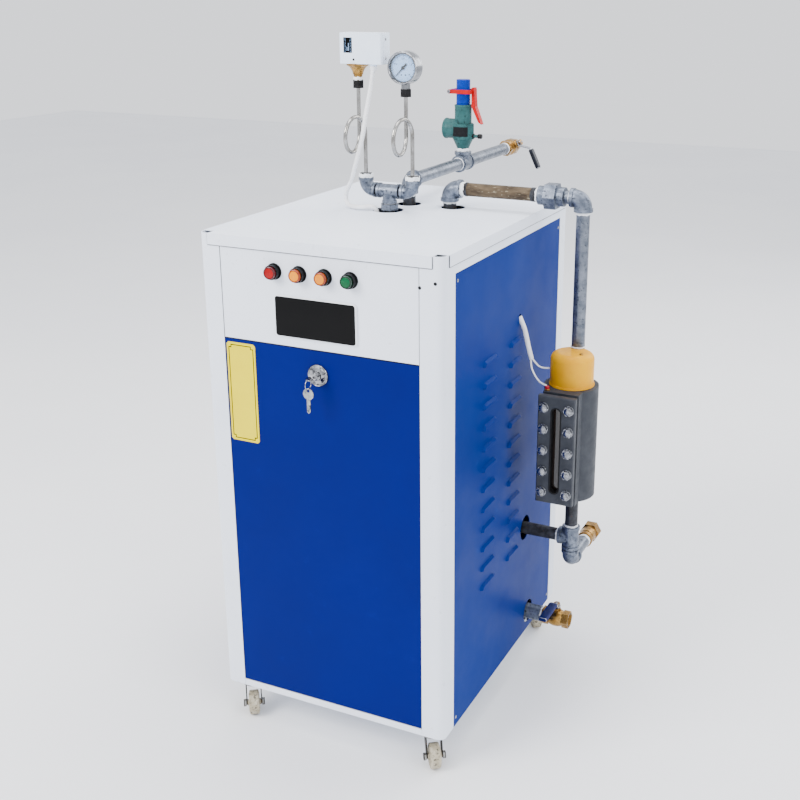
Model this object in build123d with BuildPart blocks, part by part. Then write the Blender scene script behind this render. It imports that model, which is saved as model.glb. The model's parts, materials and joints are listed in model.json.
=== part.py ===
from build123d import *
from collections import namedtuple
from math import cos, pi, radians, sin, tan
import os

os.makedirs("parts", exist_ok=True)

# The frame: x to the right and y to the back, seen from the front, with z up.
# The origin is the middle of the cabinet's underside. All sizes are in millimetres.

# Cabinet
width = 500.0
depth = 642.0
height = 955.0
frame_sheet = 2.0
skin = 1.5
pan_sheet = 3.0
post_face = 46.0
post_flank = 48.0
corner_radius = 16.0
seat_depth = 14.0
seat_width = 14.0
panel_gap = 1.0
panel_recess = 0.5
front_rail = 14.0
side_strip = 38.0
rail_flange = 12.0
lid_lip = 21.0
lid_notch = 21.0
lid_clearance = 0.3
control_height = 198.0
seam = 2.0

# Openings in the lid and the side
lid_hole = 50.0
header_hole = 62.0
header_hole_shift = (-1.5, -3.0)
level_hole_shift = (9.0, -4.0)
side_pipe_hole = 55.0
drain_hole = 52.0
wire_hole = 12.0
wire_exit_y = 46.0
wire_exit_z = 757.0

# Louvres
louvre_length = 70.0
louvre_height = 11.0
louvre_proud = 5.0
louvre_taper = 40.0
louvre_rows = 12
louvre_pitch = 42.8
louvre_drop = 249.0
louvre_columns = (-109.0, 28.0)

# Control panel
lamp_first = -87.0
lamp_pitch = 52.3
lamp_drop = 58.0
lamp_flange = 30.0
lamp_barrel = 27.0
lamp_lens = 23.0
lamp_reach = 13.0
lamp_stem = 22.0
lamp_stem_length = 36.0
lens_dome = 5.0
display_x = -2.5
display_drop = 139.0
display_size = (169.0, 78.0)
display_rim = 4.5
display_proud = 5.0
display_body = 34.0
display_corner = 6.0
screen_set = 1.0

# Label plate and lock
label_x = -168.5
label_drop = 105.0
label_size = (63.0, 198.0)
label_sheet = 1.0
label_notch = 8.0
lock_x = -2.0
lock_drop = 46.0
lock_flange = 41.0
lock_flange_sheet = 3.0
lock_barrel = 22.0
lock_barrel_length = 26.0
lock_plug = 15.0
lock_plug_proud = 3.0
key_sheet = 2.0
key_bow = 22.0
key_reach = 28.5
key_hole = 6.0
key_blade = 7.5
key_ring = 20.0
ring_wire = 1.6
spare_key_length = 45.0
key_web = 2.0

# Pipe and fitting sizes
Fitting = namedtuple("Fitting", "pipe bore reach body band band_width socket grip")
main_fitting = Fitting(26.9, 21.6, 26.0, 34.0, 38.0, 7.0, 14.0, 12.0)
small_fitting = Fitting(21.3, 16.0, 24.0, 27.5, 30.5, 5.0, 12.0, 11.0)
thread_play = 0.1

# Steam outlet line
steam_x = -22.0
steam_y = 99.0
steam_rise = 48.0
safety_y = 375.0
steam_valve_y = 630.0

# Level line and water column
level_x = 68.0
level_y = 105.0
level_rise = 38.0
union_start = 262.0
union_length = 54.0
union_hex = 48.0
union_tail = 15.0
column_x = 354.0
column_y = 72.0
column_radius = 55.0
column_wall = 11.0
column_bottom = 385.0
column_top = 622.0
neck_width = 74.0
cover_front = -20.0
cover_width = 77.0
cover_height = 228.0
cover_sheet = 13.0
glass_depth = 13.0
glass_width = 36.0
glass_margin = 5.0
window_width = 18.0
window_height = 180.0
bolt_spread = 52.0
bolt_pitch = 45.0
bolt_rows = 5
bolt_size = 10.0
bolt_hex = 17.0
bolt_head = 7.0
bolt_grip = 12.0
bolt_play = 0.3
cap_radius = 44.0
cap_height = 68.0
cap_round = 15.0
cap_skin = 2.0
cap_rim = 1.5
cap_rim_height = 4.0
cap_pipe_gap = 2.0
terminal_at = (322.0, 15.0)
terminal_size = 9.0
terminal_height = 9.0

# Lower level pipe, its drain fitting and the boiler drain
side_tee_z = 264.0
tail_gap = 2.0
tail_nipple = 74.0
tail_collar = 35.0
tail_collar_length = 10.0
tail_groove = 31.0
tail_groove_length = 3.0
tail_barrel_length = 24.0
tail_hex = 38.0
tail_hex_length = 20.0
drain_y = 137.0
drain_z = 42.0
drain_coupling_start = 236.0
drain_coupling_length = 46.0
drain_coupling = 35.0
drain_valve_gap = 5.0

# Ball valves
valve_length = 62.0
valve_hex = 34.0
valve_hex_length = 15.0
valve_belly = 40.0
valve_gland = 17.0
valve_gland_top = 24.0
valve_stem = 8.0
valve_stem_top = 31.0
valve_nut = 13.0
valve_nut_height = 5.0
lever_sheet = 3.0
lever_width = 14.0
lever_seat = 26.0
lever_step = 24.0
lever_play = 0.3
steam_lever_rise = 24.0
steam_lever_reach = 76.0
steam_grip_length = 46.0
drain_lever_rise = 17.0
drain_lever_reach = 95.0
drain_grip_length = 72.0
grip_width = 18.0
grip_sheet = 8.0
steam_stem_angle = 25.0

# Gauge header
header_x = -28.5
header_y = 22.0
header_rise = 38.5
header_gap = 4.5
nozzle_hex = 34.0
nozzle_hex_height = 12.0
bush_hex = 25.0
bush_height = 8.0

# Siphons
siphon_tube = 8.0
siphon_radius = 34.5
siphon_pitch = 13.5
siphon_centre = 151.0
switch_siphon_top = 245.0
gauge_siphon_top = 231.5
siphon_grip = 6.0
siphon_turn = 30.0
nut_hex = 20.0
nut_height = 15.0

# Gauge
gauge_size = 62.0
gauge_depth = 28.0
gauge_front = 16.0
gauge_rise = 281.0
gauge_wall = 3.5
gauge_recess = 7.0
gauge_dial_sheet = 1.0
gauge_shank = 13.0

# Pressure switch
switch_size = (92.0, 40.0, 59.0)
switch_bellows_in = 30.0
switch_rise = 286.0
switch_corner = 3.0
switch_window = (19.0, 29.0)
switch_window_at = (-27.0, 12.0)
switch_window_depth = 1.5
bellows_flange = 45.0
bellows_flange_height = 3.0
bellows_waist = 20.0
bellows_height = 18.0
bellows_neck = 17.0
gland_x = 68.5
gland_y = 12.0
gland_size = 14.0
gland_height = 4.0

# Safety valve
safety_inlet = 26.4
safety_base = 33.0
safety_cone = 21.0
safety_hex = 46.0
safety_hex_height = 34.0
safety_outlet = 44.0
safety_outlet_reach = 43.0
safety_outlet_bore = 33.0
safety_bonnet = 38.0
safety_bonnet_height = 42.0
safety_cap = 31.0
safety_cap_height = 55.0
safety_lug_z = 29.0
safety_pivot = 27.0
safety_lug_width = 9.0
safety_pin = 5.0
safety_arm = 9.0
safety_arm_sheet = 2.0
safety_arm_gap = 1.5
safety_bridge = 24.0
safety_handle_width = 15.0
safety_handle_sheet = 10.0
safety_handle_drop = 80.0
safety_handle_bend = 41.0
safety_handle_flare = 18.0
safety_screw = 7.0
safety_screw_reach = 22.0

# Boiler inside the cabinet
boiler_radius = 168.0
boiler_y = 55.0
boiler_wall = 6.0
boiler_skirt = 14.0
boiler_drop = 75.0
boss_size = 38.0
boss_height = 22.0
boss_depth = 16.0
side_boss_end = 186.0
seat_play = 0.3

# Casters
floor_z = -77.0
caster_inset = (40.0, 36.0)
caster_angle = -55.0
caster_trail = 22.0
caster_plate = 62.0
caster_plate_sheet = 2.5
caster_race = 40.0
caster_race_height = 7.0
caster_gap = 0.5
fork_disc = 44.0
fork_disc_height = 4.0
fork_sheet = 2.5
fork_width = 33.0
fork_leg = 26.0
wheel_size = 50.0
wheel_width = 20.0
wheel_round = 3.0
axle_size = 8.0
axle_play = 0.2
axle_hex = 13.0
axle_head = 5.5

# Cords
switch_cable_size = 9.0
sleeve_size = 10.0
wire_size = 3.6
wire_entry = 41.2
cord_arc_share = 0.45

# Levels and faces worked out from the sizes above
right = width / 2
back = depth / 2
front = -back
post_top = height - skin
panel_depth = seat_depth - panel_recess
panel_face = back - panel_recess
flank_face = right - panel_recess
panel_half = right - post_face - panel_gap
flank_half = back - post_flank - panel_gap
strip_bottom = height - side_strip
side_panel_height = strip_bottom - panel_gap
steam_z = height + steam_rise
level_z = height + level_rise
header_z = height + header_rise
header_half = 2 * small_fitting.reach + header_gap
switch_x = header_x - header_half
gauge_x = header_x + header_half
tail_z = side_tee_z - 2 * main_fitting.reach - tail_gap
neck_front = cover_front + cover_sheet + glass_depth
cover_middle = column_top - cover_height / 2
lamp_spots = [(lamp_first + n * lamp_pitch, height - lamp_drop) for n in range(4)]
door_top = height - control_height
display_centre = (display_x, height - display_drop)
label_centre = (label_x, door_top - label_drop)
lock_centre = (lock_x, door_top - lock_drop)
boiler_top = height - boiler_drop
louvre_top = height - louvre_drop
caster_spots = {
    "front_right": (right - caster_inset[0], front + caster_inset[1]),
    "front_left": (-right + caster_inset[0], front + caster_inset[1]),
    "back_right": (right - caster_inset[0], back - caster_inset[1]),
    "back_left": (-right + caster_inset[0], back - caster_inset[1]),
}


# Repeated shapes


def tube(start, direction, length, outer, inner):
    """A straight round pipe from its start along a direction."""
    with BuildPart() as run:
        with BuildSketch(Plane(origin=start, z_dir=direction)):
            Circle(outer / 2)
            Circle(inner / 2, mode=Mode.SUBTRACT)
        extrude(amount=length)
    return run.part


def along(point, direction, distance):
    """The point at a distance from another along a unit direction."""
    return tuple(p + d * distance for p, d in zip(point, direction))


def elbow(corner, inlet, outlet, fitting):
    """A screwed elbow whose two ends face away from its corner."""
    bend = fitting.reach - fitting.band_width
    bulge = bend * (1 - cos(pi / 4))
    plane = Plane(origin=corner, x_dir=inlet, z_dir=Vector(inlet).cross(Vector(outlet)))
    ends = [(along(corner, way, fitting.reach), tuple(-w for w in way)) for way in (inlet, outlet)]
    with BuildPart() as shape:
        with BuildLine(plane) as route:
            Line((fitting.reach, 0), (bend, 0))
            ThreePointArc((bend, 0), (bulge, bulge), (0, bend))
            Line((0, bend), (0, fitting.reach))
        mouth = Plane(origin=ends[0][0], z_dir=ends[0][1])
        with BuildSketch(mouth):
            Circle(fitting.body / 2)
        sweep()
        for end, inward in ends:
            with BuildSketch(Plane(origin=end, z_dir=inward)):
                Circle(fitting.band / 2)
            extrude(amount=fitting.band_width)
        with BuildSketch(mouth):
            Circle(fitting.bore / 2)
        sweep(path=route.line, mode=Mode.SUBTRACT)
        for end, inward in ends:
            with BuildSketch(Plane(origin=end, z_dir=inward)):
                Circle(fitting.pipe / 2 + thread_play)
            extrude(amount=fitting.socket, mode=Mode.SUBTRACT)
    return shape.part


def tee(centre, run, branch, fitting):
    """A screwed tee with a straight run and one branch."""
    ways = (run, tuple(-w for w in run), branch)
    ends = [(along(centre, way, fitting.reach), tuple(-w for w in way)) for way in ways]
    with BuildPart() as shape:
        for end, inward in ends:
            with BuildSketch(Plane(origin=end, z_dir=inward)):
                Circle(fitting.body / 2)
            extrude(amount=fitting.reach)
            with BuildSketch(Plane(origin=end, z_dir=inward)):
                Circle(fitting.band / 2)
            extrude(amount=fitting.band_width)
        for end, inward in ends:
            with BuildSketch(Plane(origin=end, z_dir=inward)):
                Circle(fitting.bore / 2)
            extrude(amount=fitting.reach, mode=Mode.SUBTRACT)
            with BuildSketch(Plane(origin=end, z_dir=inward)):
                Circle(fitting.pipe / 2 + thread_play)
            extrude(amount=fitting.socket, mode=Mode.SUBTRACT)
    return shape.part


def hexagon_nut(start, direction, across_flats, length, bore):
    """A hexagon bored along its axis, across its flats in size."""
    with BuildPart() as shape:
        with BuildSketch(Plane(origin=start, z_dir=direction)):
            RegularPolygon(across_flats / 2, 6, major_radius=False)
            if bore > 0:
                Circle(bore / 2, mode=Mode.SUBTRACT)
        extrude(amount=length)
    return shape.part


def ball_valve():
    """A closed ball valve along x from its inlet face, with its stem along z."""
    middle = valve_length / 2
    belly_start = valve_hex_length
    belly_end = valve_length - valve_hex_length
    socket_radius = main_fitting.pipe / 2 + thread_play
    with BuildPart() as shape:
        for start in (0, belly_end):
            with BuildSketch(Plane.YZ.offset(start)):
                RegularPolygon(valve_hex / 2, 6, major_radius=False)
            extrude(amount=valve_hex_length)
        with BuildSketch(Plane.XZ):
            with BuildLine():
                Line((belly_start, 0), (belly_start, valve_hex / 2 - 1))
                ThreePointArc((belly_start, valve_hex / 2 - 1), (middle, valve_belly / 2),
                              (belly_end, valve_hex / 2 - 1))
                Line((belly_end, valve_hex / 2 - 1), (belly_end, 0))
                Line((belly_end, 0), (belly_start, 0))
            make_face()
        revolve(axis=Axis.X)
        with BuildSketch(Plane.XY):
            with Locations((middle, 0)):
                Circle(valve_gland / 2)
        extrude(amount=valve_gland_top)
        with BuildSketch(Plane.XY):
            with Locations((middle, 0)):
                Circle(valve_stem / 2)
        extrude(amount=valve_stem_top)
        with BuildSketch(Plane.XY.offset(valve_stem_top)):
            with Locations((middle, 0)):
                RegularPolygon(valve_nut / 2, 6, major_radius=False)
        extrude(amount=valve_nut_height)
        for start, way in ((0, 1), (valve_length, -1)):
            with BuildSketch(Plane(origin=(start, 0, 0), z_dir=(way, 0, 0))):
                Circle(socket_radius)
            extrude(amount=main_fitting.socket, mode=Mode.SUBTRACT)
            with BuildSketch(Plane(origin=(start, 0, 0), z_dir=(way, 0, 0))):
                Circle(main_fitting.bore / 2)
            extrude(amount=main_fitting.socket + valve_stem, mode=Mode.SUBTRACT)
    return shape.part


def valve_lever(rise, reach, grip_length):
    """A lever about z, laid along x, with its sleeve at the far end."""
    grip_start = reach - grip_length
    top = lever_seat + rise
    with BuildPart() as shape:
        with BuildSketch(Plane.XZ.offset(-lever_width / 2)):
            with BuildLine():
                Polyline(
                    (-lever_width / 2, lever_seat),
                    (lever_width / 2, lever_seat),
                    (lever_step, top),
                    (grip_start + lever_sheet, top),
                    (grip_start + lever_sheet, top + lever_sheet),
                    (lever_step - lever_sheet / 3, top + lever_sheet),
                    (lever_width / 2 - lever_sheet / 3, lever_seat + lever_sheet),
                    (-lever_width / 2, lever_seat + lever_sheet),
                    close=True,
                )
            make_face()
        extrude(amount=lever_width)
        with BuildSketch(Plane.YZ.offset(grip_start)):
            with Locations((0, top + lever_sheet / 2)):
                RectangleRounded(grip_width, grip_sheet, grip_sheet / 2 - 0.5)
        extrude(amount=grip_length)
        with BuildSketch(Plane.XY.offset(lever_seat)):
            Circle(valve_stem / 2 + lever_play)
        extrude(amount=lever_sheet, mode=Mode.SUBTRACT)
    return shape.part


def louvre_hoods(columns, rows):
    """Pressed hoods on the plane z = 0, open at their lower edge."""
    inner_length = louvre_length - 2 * skin
    with BuildPart() as hood:
        with BuildSketch(Plane.XY):
            SlotOverall(louvre_length, 2 * louvre_height)
        extrude(amount=louvre_proud, taper=louvre_taper)
        with BuildSketch(Plane.XY):
            SlotOverall(inner_length, 2 * louvre_height - 2 * skin)
        extrude(amount=louvre_proud - skin, taper=louvre_taper, mode=Mode.SUBTRACT)
        with Locations((0, -louvre_height / 2, louvre_proud / 2)):
            Box(louvre_length + 2, louvre_height + skin, 2 * louvre_proud, mode=Mode.SUBTRACT)
    with BuildPart() as hoods:
        with Locations([(x, z) for x in columns for z in rows]):
            add(hood.part)
    return hoods.part


def side_panel(louvred):
    """A sheet tray seen from its outer face on z = 0, with x along the cabinet and y up."""
    rows = [louvre_top - n * louvre_pitch for n in range(louvre_rows)]
    slots = [(x, z + louvre_height / 4) for x in louvre_columns for z in rows]
    with BuildPart() as tray:
        with Locations((0, side_panel_height / 2, -panel_depth / 2)):
            Box(2 * flank_half, side_panel_height, panel_depth)
        with Locations((0, (side_panel_height - skin) / 2, -panel_depth / 2 - skin / 2)):
            Box(2 * (flank_half - skin), side_panel_height - skin, panel_depth - skin, mode=Mode.SUBTRACT)
        if louvred:
            with Locations([(x, z, -skin / 2) for x, z in slots]):
                Box(louvre_length - 2 * louvre_height, louvre_height / 2, skin, mode=Mode.SUBTRACT)
            add(louvre_hoods(louvre_columns, rows))
    return tray.part


def cord(points, size):
    """A round cord on straight runs joined by the largest arcs that its runs allow."""
    legs = [Vector(b) - Vector(a) for a, b in zip(points, points[1:])]
    radii = []
    for before, after in zip(legs, legs[1:]):
        half_turn = radians(before.get_angle(after)) / 2
        radii.append(cord_arc_share * min(before.length, after.length) / tan(half_turn))
    with BuildPart() as shape:
        with BuildLine() as route:
            path = FilletPolyline(*points, radius=radii)
        with BuildSketch(Plane(origin=path @ 0, z_dir=path % 0)):
            Circle(size / 2)
        sweep()
    return shape.part


def siphon(x, lower, upper):
    """A pigtail siphon: up, once round in the yz plane while it steps to the left, and up again."""
    corner = siphon_radius / cos(radians(siphon_turn / 2))
    steps = round(360 / siphon_turn) - 1
    points = [(x, header_y, lower)]
    for n in range(steps + 1):
        angle = radians((n + 0.5) * siphon_turn)
        points.append((x - siphon_pitch * n / steps, header_y - siphon_radius + corner * cos(angle),
                       height + siphon_centre + corner * sin(angle)))
    points.append((x - siphon_pitch, header_y, upper))
    return cord(points, siphon_tube)


# Cabinet frame: four corner posts and the rails above the side and back panels

with BuildPart() as cabinet_frame:
    with BuildSketch(Plane.XY):
        with BuildLine():
            arc_reach = corner_radius * sin(pi / 4)
            inner_reach = (corner_radius - frame_sheet) * sin(pi / 4)
            arc_x = right - corner_radius
            arc_y = back - corner_radius
            Line((right - post_face, back), (arc_x, back))
            ThreePointArc((arc_x, back), (arc_x + arc_reach, arc_y + arc_reach), (right, arc_y))
            Polyline((right, arc_y), (right, back - post_flank), (right - frame_sheet, back - post_flank),
                     (right - frame_sheet, arc_y))
            ThreePointArc((right - frame_sheet, arc_y), (arc_x + inner_reach, arc_y + inner_reach),
                          (arc_x, back - frame_sheet))
            Polyline((arc_x, back - frame_sheet), (right - post_face, back - frame_sheet),
                     (right - post_face, back))
        make_face()
    extrude(amount=post_top)
    with Locations((right, back, post_top)):
        Box(2 * (post_face + seat_width), 2 * (post_flank + seat_width), 1, mode=Mode.SUBTRACT)
    with BuildSketch(Plane.XY.offset(post_top - 1)):
        with BuildLine():
            Line((right - lid_notch, back), (arc_x, back))
            ThreePointArc((arc_x, back), (arc_x + arc_reach, arc_y + arc_reach), (right, arc_y))
            Polyline((right, arc_y), (right, back - lid_notch), (right - frame_sheet, back - lid_notch),
                     (right - frame_sheet, arc_y))
            ThreePointArc((right - frame_sheet, arc_y), (arc_x + inner_reach, arc_y + inner_reach),
                          (arc_x, back - frame_sheet))
            Polyline((arc_x, back - frame_sheet), (right - lid_notch, back - frame_sheet),
                     (right - lid_notch, back))
        make_face()
    extrude(amount=height - post_top + 1)
    with BuildSketch(Plane.XY.offset(pan_sheet)):
        seat_y = back - seat_depth - frame_sheet / 2
        seat_x = right - seat_depth - frame_sheet / 2
        with Locations((right - post_face + frame_sheet / 2, back - seat_depth / 2 - frame_sheet / 2)):
            Rectangle(frame_sheet, seat_depth + frame_sheet)
        with Locations((right - post_face + frame_sheet / 2 - seat_width / 2, seat_y)):
            Rectangle(seat_width + frame_sheet, frame_sheet)
        with Locations((right - seat_depth / 2 - frame_sheet / 2, back - post_flank + frame_sheet / 2)):
            Rectangle(seat_depth + frame_sheet, frame_sheet)
        with Locations((seat_x, back - post_flank + frame_sheet / 2 - seat_width / 2)):
            Rectangle(frame_sheet, seat_width + frame_sheet)
    extrude(amount=post_top - 1 - pan_sheet)
    mirror(about=Plane.XZ)
    mirror(about=Plane.YZ)
    for side in (1, -1):
        with Locations((side * (right - frame_sheet / 2), 0, post_top - (side_strip - skin) / 2)):
            Box(frame_sheet, 2 * (back - post_flank), side_strip - skin)
        with Locations((side * (right - rail_flange / 2), 0, post_top - frame_sheet / 2)):
            Box(rail_flange, 2 * (back - post_flank), frame_sheet)
    with Locations((0, back - frame_sheet / 2, post_top - (side_strip - skin) / 2)):
        Box(2 * (right - post_face), frame_sheet, side_strip - skin)
    with Locations((0, back - rail_flange / 2, post_top - frame_sheet / 2)):
        Box(2 * (right - post_face), rail_flange, frame_sheet)
cabinet_frame.part.label = "cabinet_frame"
export_step(cabinet_frame.part, "parts/cabinet_frame.step")

# Floor pan with its front and back rails

pan_half_x = right - seat_depth - seat_play
pan_half_y = back - seat_depth - frame_sheet / 2
rail_half = right - post_face - seat_play
with BuildPart() as base_pan:
    with BuildSketch(Plane.XY):
        Rectangle(2 * pan_half_x, 2 * pan_half_y)
        Rectangle(2 * rail_half, depth)
    extrude(amount=pan_sheet)
    for side in (1, -1):
        with Locations((0, side * (back - frame_sheet / 2), front_rail / 2)):
            Box(2 * rail_half, frame_sheet, front_rail)
base_pan.part.label = "base_pan"
export_step(base_pan.part, "parts/base_pan.step")

# Lid with its lips and pipe holes

lid_half_x = right + lid_clearance + skin
lid_half_y = back + lid_clearance + skin
header_hole_at = (header_x + header_hole_shift[0], header_y + header_hole_shift[1])
level_hole_at = (level_x + level_hole_shift[0], level_y + level_hole_shift[1])
with BuildPart() as top_cover:
    with BuildSketch(Plane.XY.offset(post_top)):
        Rectangle(2 * (right - lid_notch - lid_clearance), 2 * lid_half_y)
        Rectangle(2 * lid_half_x, 2 * (back - lid_notch - lid_clearance))
        with Locations((steam_x, steam_y), level_hole_at):
            Circle(lid_hole / 2, mode=Mode.SUBTRACT)
        with Locations(header_hole_at):
            Circle(header_hole / 2, mode=Mode.SUBTRACT)
    extrude(amount=skin)
    lip_z = height - lid_lip / 2
    for side in (1, -1):
        with Locations((0, side * (lid_half_y - skin / 2), lip_z)):
            Box(2 * (right - lid_notch - lid_clearance), skin, lid_lip)
        with Locations((side * (lid_half_x - skin / 2), 0, lip_z)):
            Box(skin, 2 * (back - lid_notch - lid_clearance), lid_lip)
top_cover.part.label = "top_cover"
export_step(top_cover.part, "parts/top_cover.step")

# Control panel, front door and back panel: sheet trays between the posts

control_bottom = door_top + seam
control_height = post_top - panel_gap - control_bottom
with BuildPart() as control_panel:
    with Locations((0, -panel_face + panel_depth / 2, control_bottom + control_height / 2)):
        Box(2 * panel_half, panel_depth, control_height)
    with Locations((0, -panel_face + panel_depth / 2 + skin / 2, control_bottom + control_height / 2)):
        Box(2 * (panel_half - skin), panel_depth - skin, control_height - 2 * skin, mode=Mode.SUBTRACT)
    with BuildSketch(Plane.XZ.offset(panel_face)):
        with Locations(lamp_spots):
            Circle(lamp_stem / 2 + seat_play)
        with Locations(display_centre):
            Rectangle(display_size[0] - 4 * display_rim + 2 * seat_play,
                      display_size[1] - 4 * display_rim + 2 * seat_play)
    extrude(amount=-panel_depth, mode=Mode.SUBTRACT)
control_panel.part.label = "control_panel"
export_step(control_panel.part, "parts/control_panel.step")

door_bottom = front_rail + seam
door_height = door_top - door_bottom
with BuildPart() as front_door:
    with Locations((0, -panel_face + panel_depth / 2, door_bottom + door_height / 2)):
        Box(2 * panel_half, panel_depth, door_height)
    with Locations((0, -panel_face + panel_depth / 2 + skin / 2, door_bottom + door_height / 2)):
        Box(2 * (panel_half - skin), panel_depth - skin, door_height - 2 * skin, mode=Mode.SUBTRACT)
    with BuildSketch(Plane.XZ.offset(panel_face)):
        with Locations(lock_centre):
            Circle(lock_barrel / 2 + seat_play)
    extrude(amount=-panel_depth, mode=Mode.SUBTRACT)
front_door.part.label = "front_door"
export_step(front_door.part, "parts/front_door.step")

back_height = side_panel_height - door_bottom
with BuildPart() as back_panel:
    with Locations((0, panel_face - panel_depth / 2, door_bottom + back_height / 2)):
        Box(2 * panel_half, panel_depth, back_height)
    with Locations((0, panel_face - panel_depth / 2 - skin / 2, door_bottom + back_height / 2)):
        Box(2 * (panel_half - skin), panel_depth - skin, back_height - 2 * skin, mode=Mode.SUBTRACT)
back_panel.part.label = "back_panel"
export_step(back_panel.part, "parts/back_panel.step")

# Side panels with louvres, and on the right the holes for the two pipes and the wires

right_flank = Plane(origin=(flank_face, 0, 0), x_dir=(0, 1, 0), z_dir=(1, 0, 0))
left_flank = Plane(origin=(-flank_face, 0, 0), x_dir=(0, -1, 0), z_dir=(-1, 0, 0))
louvred_tray = side_panel(True)

with BuildPart() as side_panel_right:
    with Locations(Location(right_flank)):
        add(louvred_tray)
    with BuildSketch(right_flank):
        with Locations((level_y, side_tee_z)):
            Circle(side_pipe_hole / 2)
        with Locations((drain_y, drain_z)):
            Circle(drain_hole / 2)
        with Locations((wire_exit_y, wire_exit_z)):
            Circle(wire_hole / 2)
    extrude(amount=-panel_depth, mode=Mode.SUBTRACT)
side_panel_right.part.label = "side_panel_right"
export_step(side_panel_right.part, "parts/side_panel_right.step")

with BuildPart() as side_panel_left:
    with Locations(Location(left_flank)):
        add(louvred_tray)
side_panel_left.part.label = "side_panel_left"
export_step(side_panel_left.part, "parts/side_panel_left.step")

# Boiler shell on its skirt, with the bosses that carry the pipes

boiler_bottom = pan_sheet + boiler_skirt
steam_boss = (steam_x, steam_y)
level_boss = (level_x, level_y)
with BuildPart() as boiler_vessel:
    with BuildSketch(Plane.XY.offset(pan_sheet)):
        with Locations((0, boiler_y)):
            Circle(boiler_radius)
    extrude(amount=boiler_top - pan_sheet)
    with BuildSketch(Plane.XY.offset(boiler_top)):
        with Locations(steam_boss, level_boss, (header_x, header_y)):
            Circle(boss_size / 2)
    extrude(amount=boss_height)
    with BuildSketch(Plane.YZ.offset(side_boss_end)):
        with Locations((level_y, side_tee_z), (drain_y, drain_z)):
            Circle(boss_size / 2)
    extrude(amount=-(side_boss_end - boiler_radius / 2))
    with BuildSketch(Plane.XY.offset(pan_sheet)):
        with Locations((0, boiler_y)):
            Circle(boiler_radius - boiler_wall)
    extrude(amount=boiler_skirt - boiler_wall, mode=Mode.SUBTRACT)
    with BuildSketch(Plane.XY.offset(boiler_bottom)):
        with Locations((0, boiler_y)):
            Circle(boiler_radius - boiler_wall)
    extrude(amount=boiler_top - boiler_wall - boiler_bottom, mode=Mode.SUBTRACT)
    with BuildSketch(Plane.XY.offset(boiler_top + boss_height)):
        with Locations(steam_boss, level_boss):
            Circle(main_fitting.pipe / 2 + thread_play)
        with Locations((header_x, header_y)):
            Circle(small_fitting.pipe / 2 + thread_play)
    extrude(amount=-(boss_height + boiler_wall), mode=Mode.SUBTRACT)
    with BuildSketch(Plane.YZ.offset(side_boss_end)):
        with Locations((level_y, side_tee_z), (drain_y, drain_z)):
            Circle(main_fitting.pipe / 2 + thread_play)
    extrude(amount=-(side_boss_end - boiler_radius / 2), mode=Mode.SUBTRACT)
boiler_vessel.part.label = "boiler_vessel"
export_step(boiler_vessel.part, "parts/boiler_vessel.step")

# Dark steel pipes: the stubs through the lid and the side, and the short nipples

stub_start = boiler_top + boss_height - boss_depth
side_start = side_boss_end - boss_depth
tee_side = column_x - main_fitting.reach
drain_coupling_end = drain_coupling_start + drain_coupling_length
drain_valve_x = drain_coupling_end + drain_valve_gap
header_nipple = header_gap + 2 * small_fitting.grip
stub_grip = main_fitting.reach - main_fitting.grip
with BuildPart() as dark_pipes:
    add(tube((steam_x, steam_y, stub_start), (0, 0, 1),
             steam_z - stub_grip - stub_start, main_fitting.pipe, main_fitting.bore))
    add(tube((level_x, level_y, stub_start), (0, 0, 1),
             level_z - stub_grip - stub_start, main_fitting.pipe, main_fitting.bore))
    add(tube((header_x, header_y, stub_start), (0, 0, 1),
             header_z - small_fitting.reach + small_fitting.grip - stub_start,
             small_fitting.pipe, small_fitting.bore))
    add(tube((side_start, level_y, side_tee_z), (1, 0, 0), tee_side + main_fitting.grip - side_start,
             main_fitting.pipe, main_fitting.bore))
    add(tube((side_start, drain_y, drain_z), (1, 0, 0),
             drain_coupling_start + main_fitting.grip - side_start, main_fitting.pipe, main_fitting.bore))
    add(tube((drain_coupling_end - main_fitting.grip, drain_y, drain_z), (1, 0, 0),
             drain_valve_gap + 2 * main_fitting.grip, main_fitting.pipe, main_fitting.bore))
    for side in (1, -1):
        add(tube((header_x + side * (small_fitting.reach - small_fitting.grip), header_y, header_z),
                 (side, 0, 0), header_nipple, small_fitting.pipe, small_fitting.bore))
    add(tube((column_x, level_y, side_tee_z - main_fitting.reach + main_fitting.grip), (0, 0, -1),
             tail_gap + 2 * main_fitting.grip, main_fitting.pipe, main_fitting.bore))
    add(tube((column_x, level_y, column_bottom + main_fitting.grip), (0, 0, -1),
             column_bottom - side_tee_z - main_fitting.reach + 2 * main_fitting.grip,
             main_fitting.pipe, main_fitting.bore))
dark_pipes.part.label = "dark_pipes"
export_step(dark_pipes.part, "parts/dark_pipes.step")

# Galvanised pipes: the steam outlet, the level pipe and the tail of the water column

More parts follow.
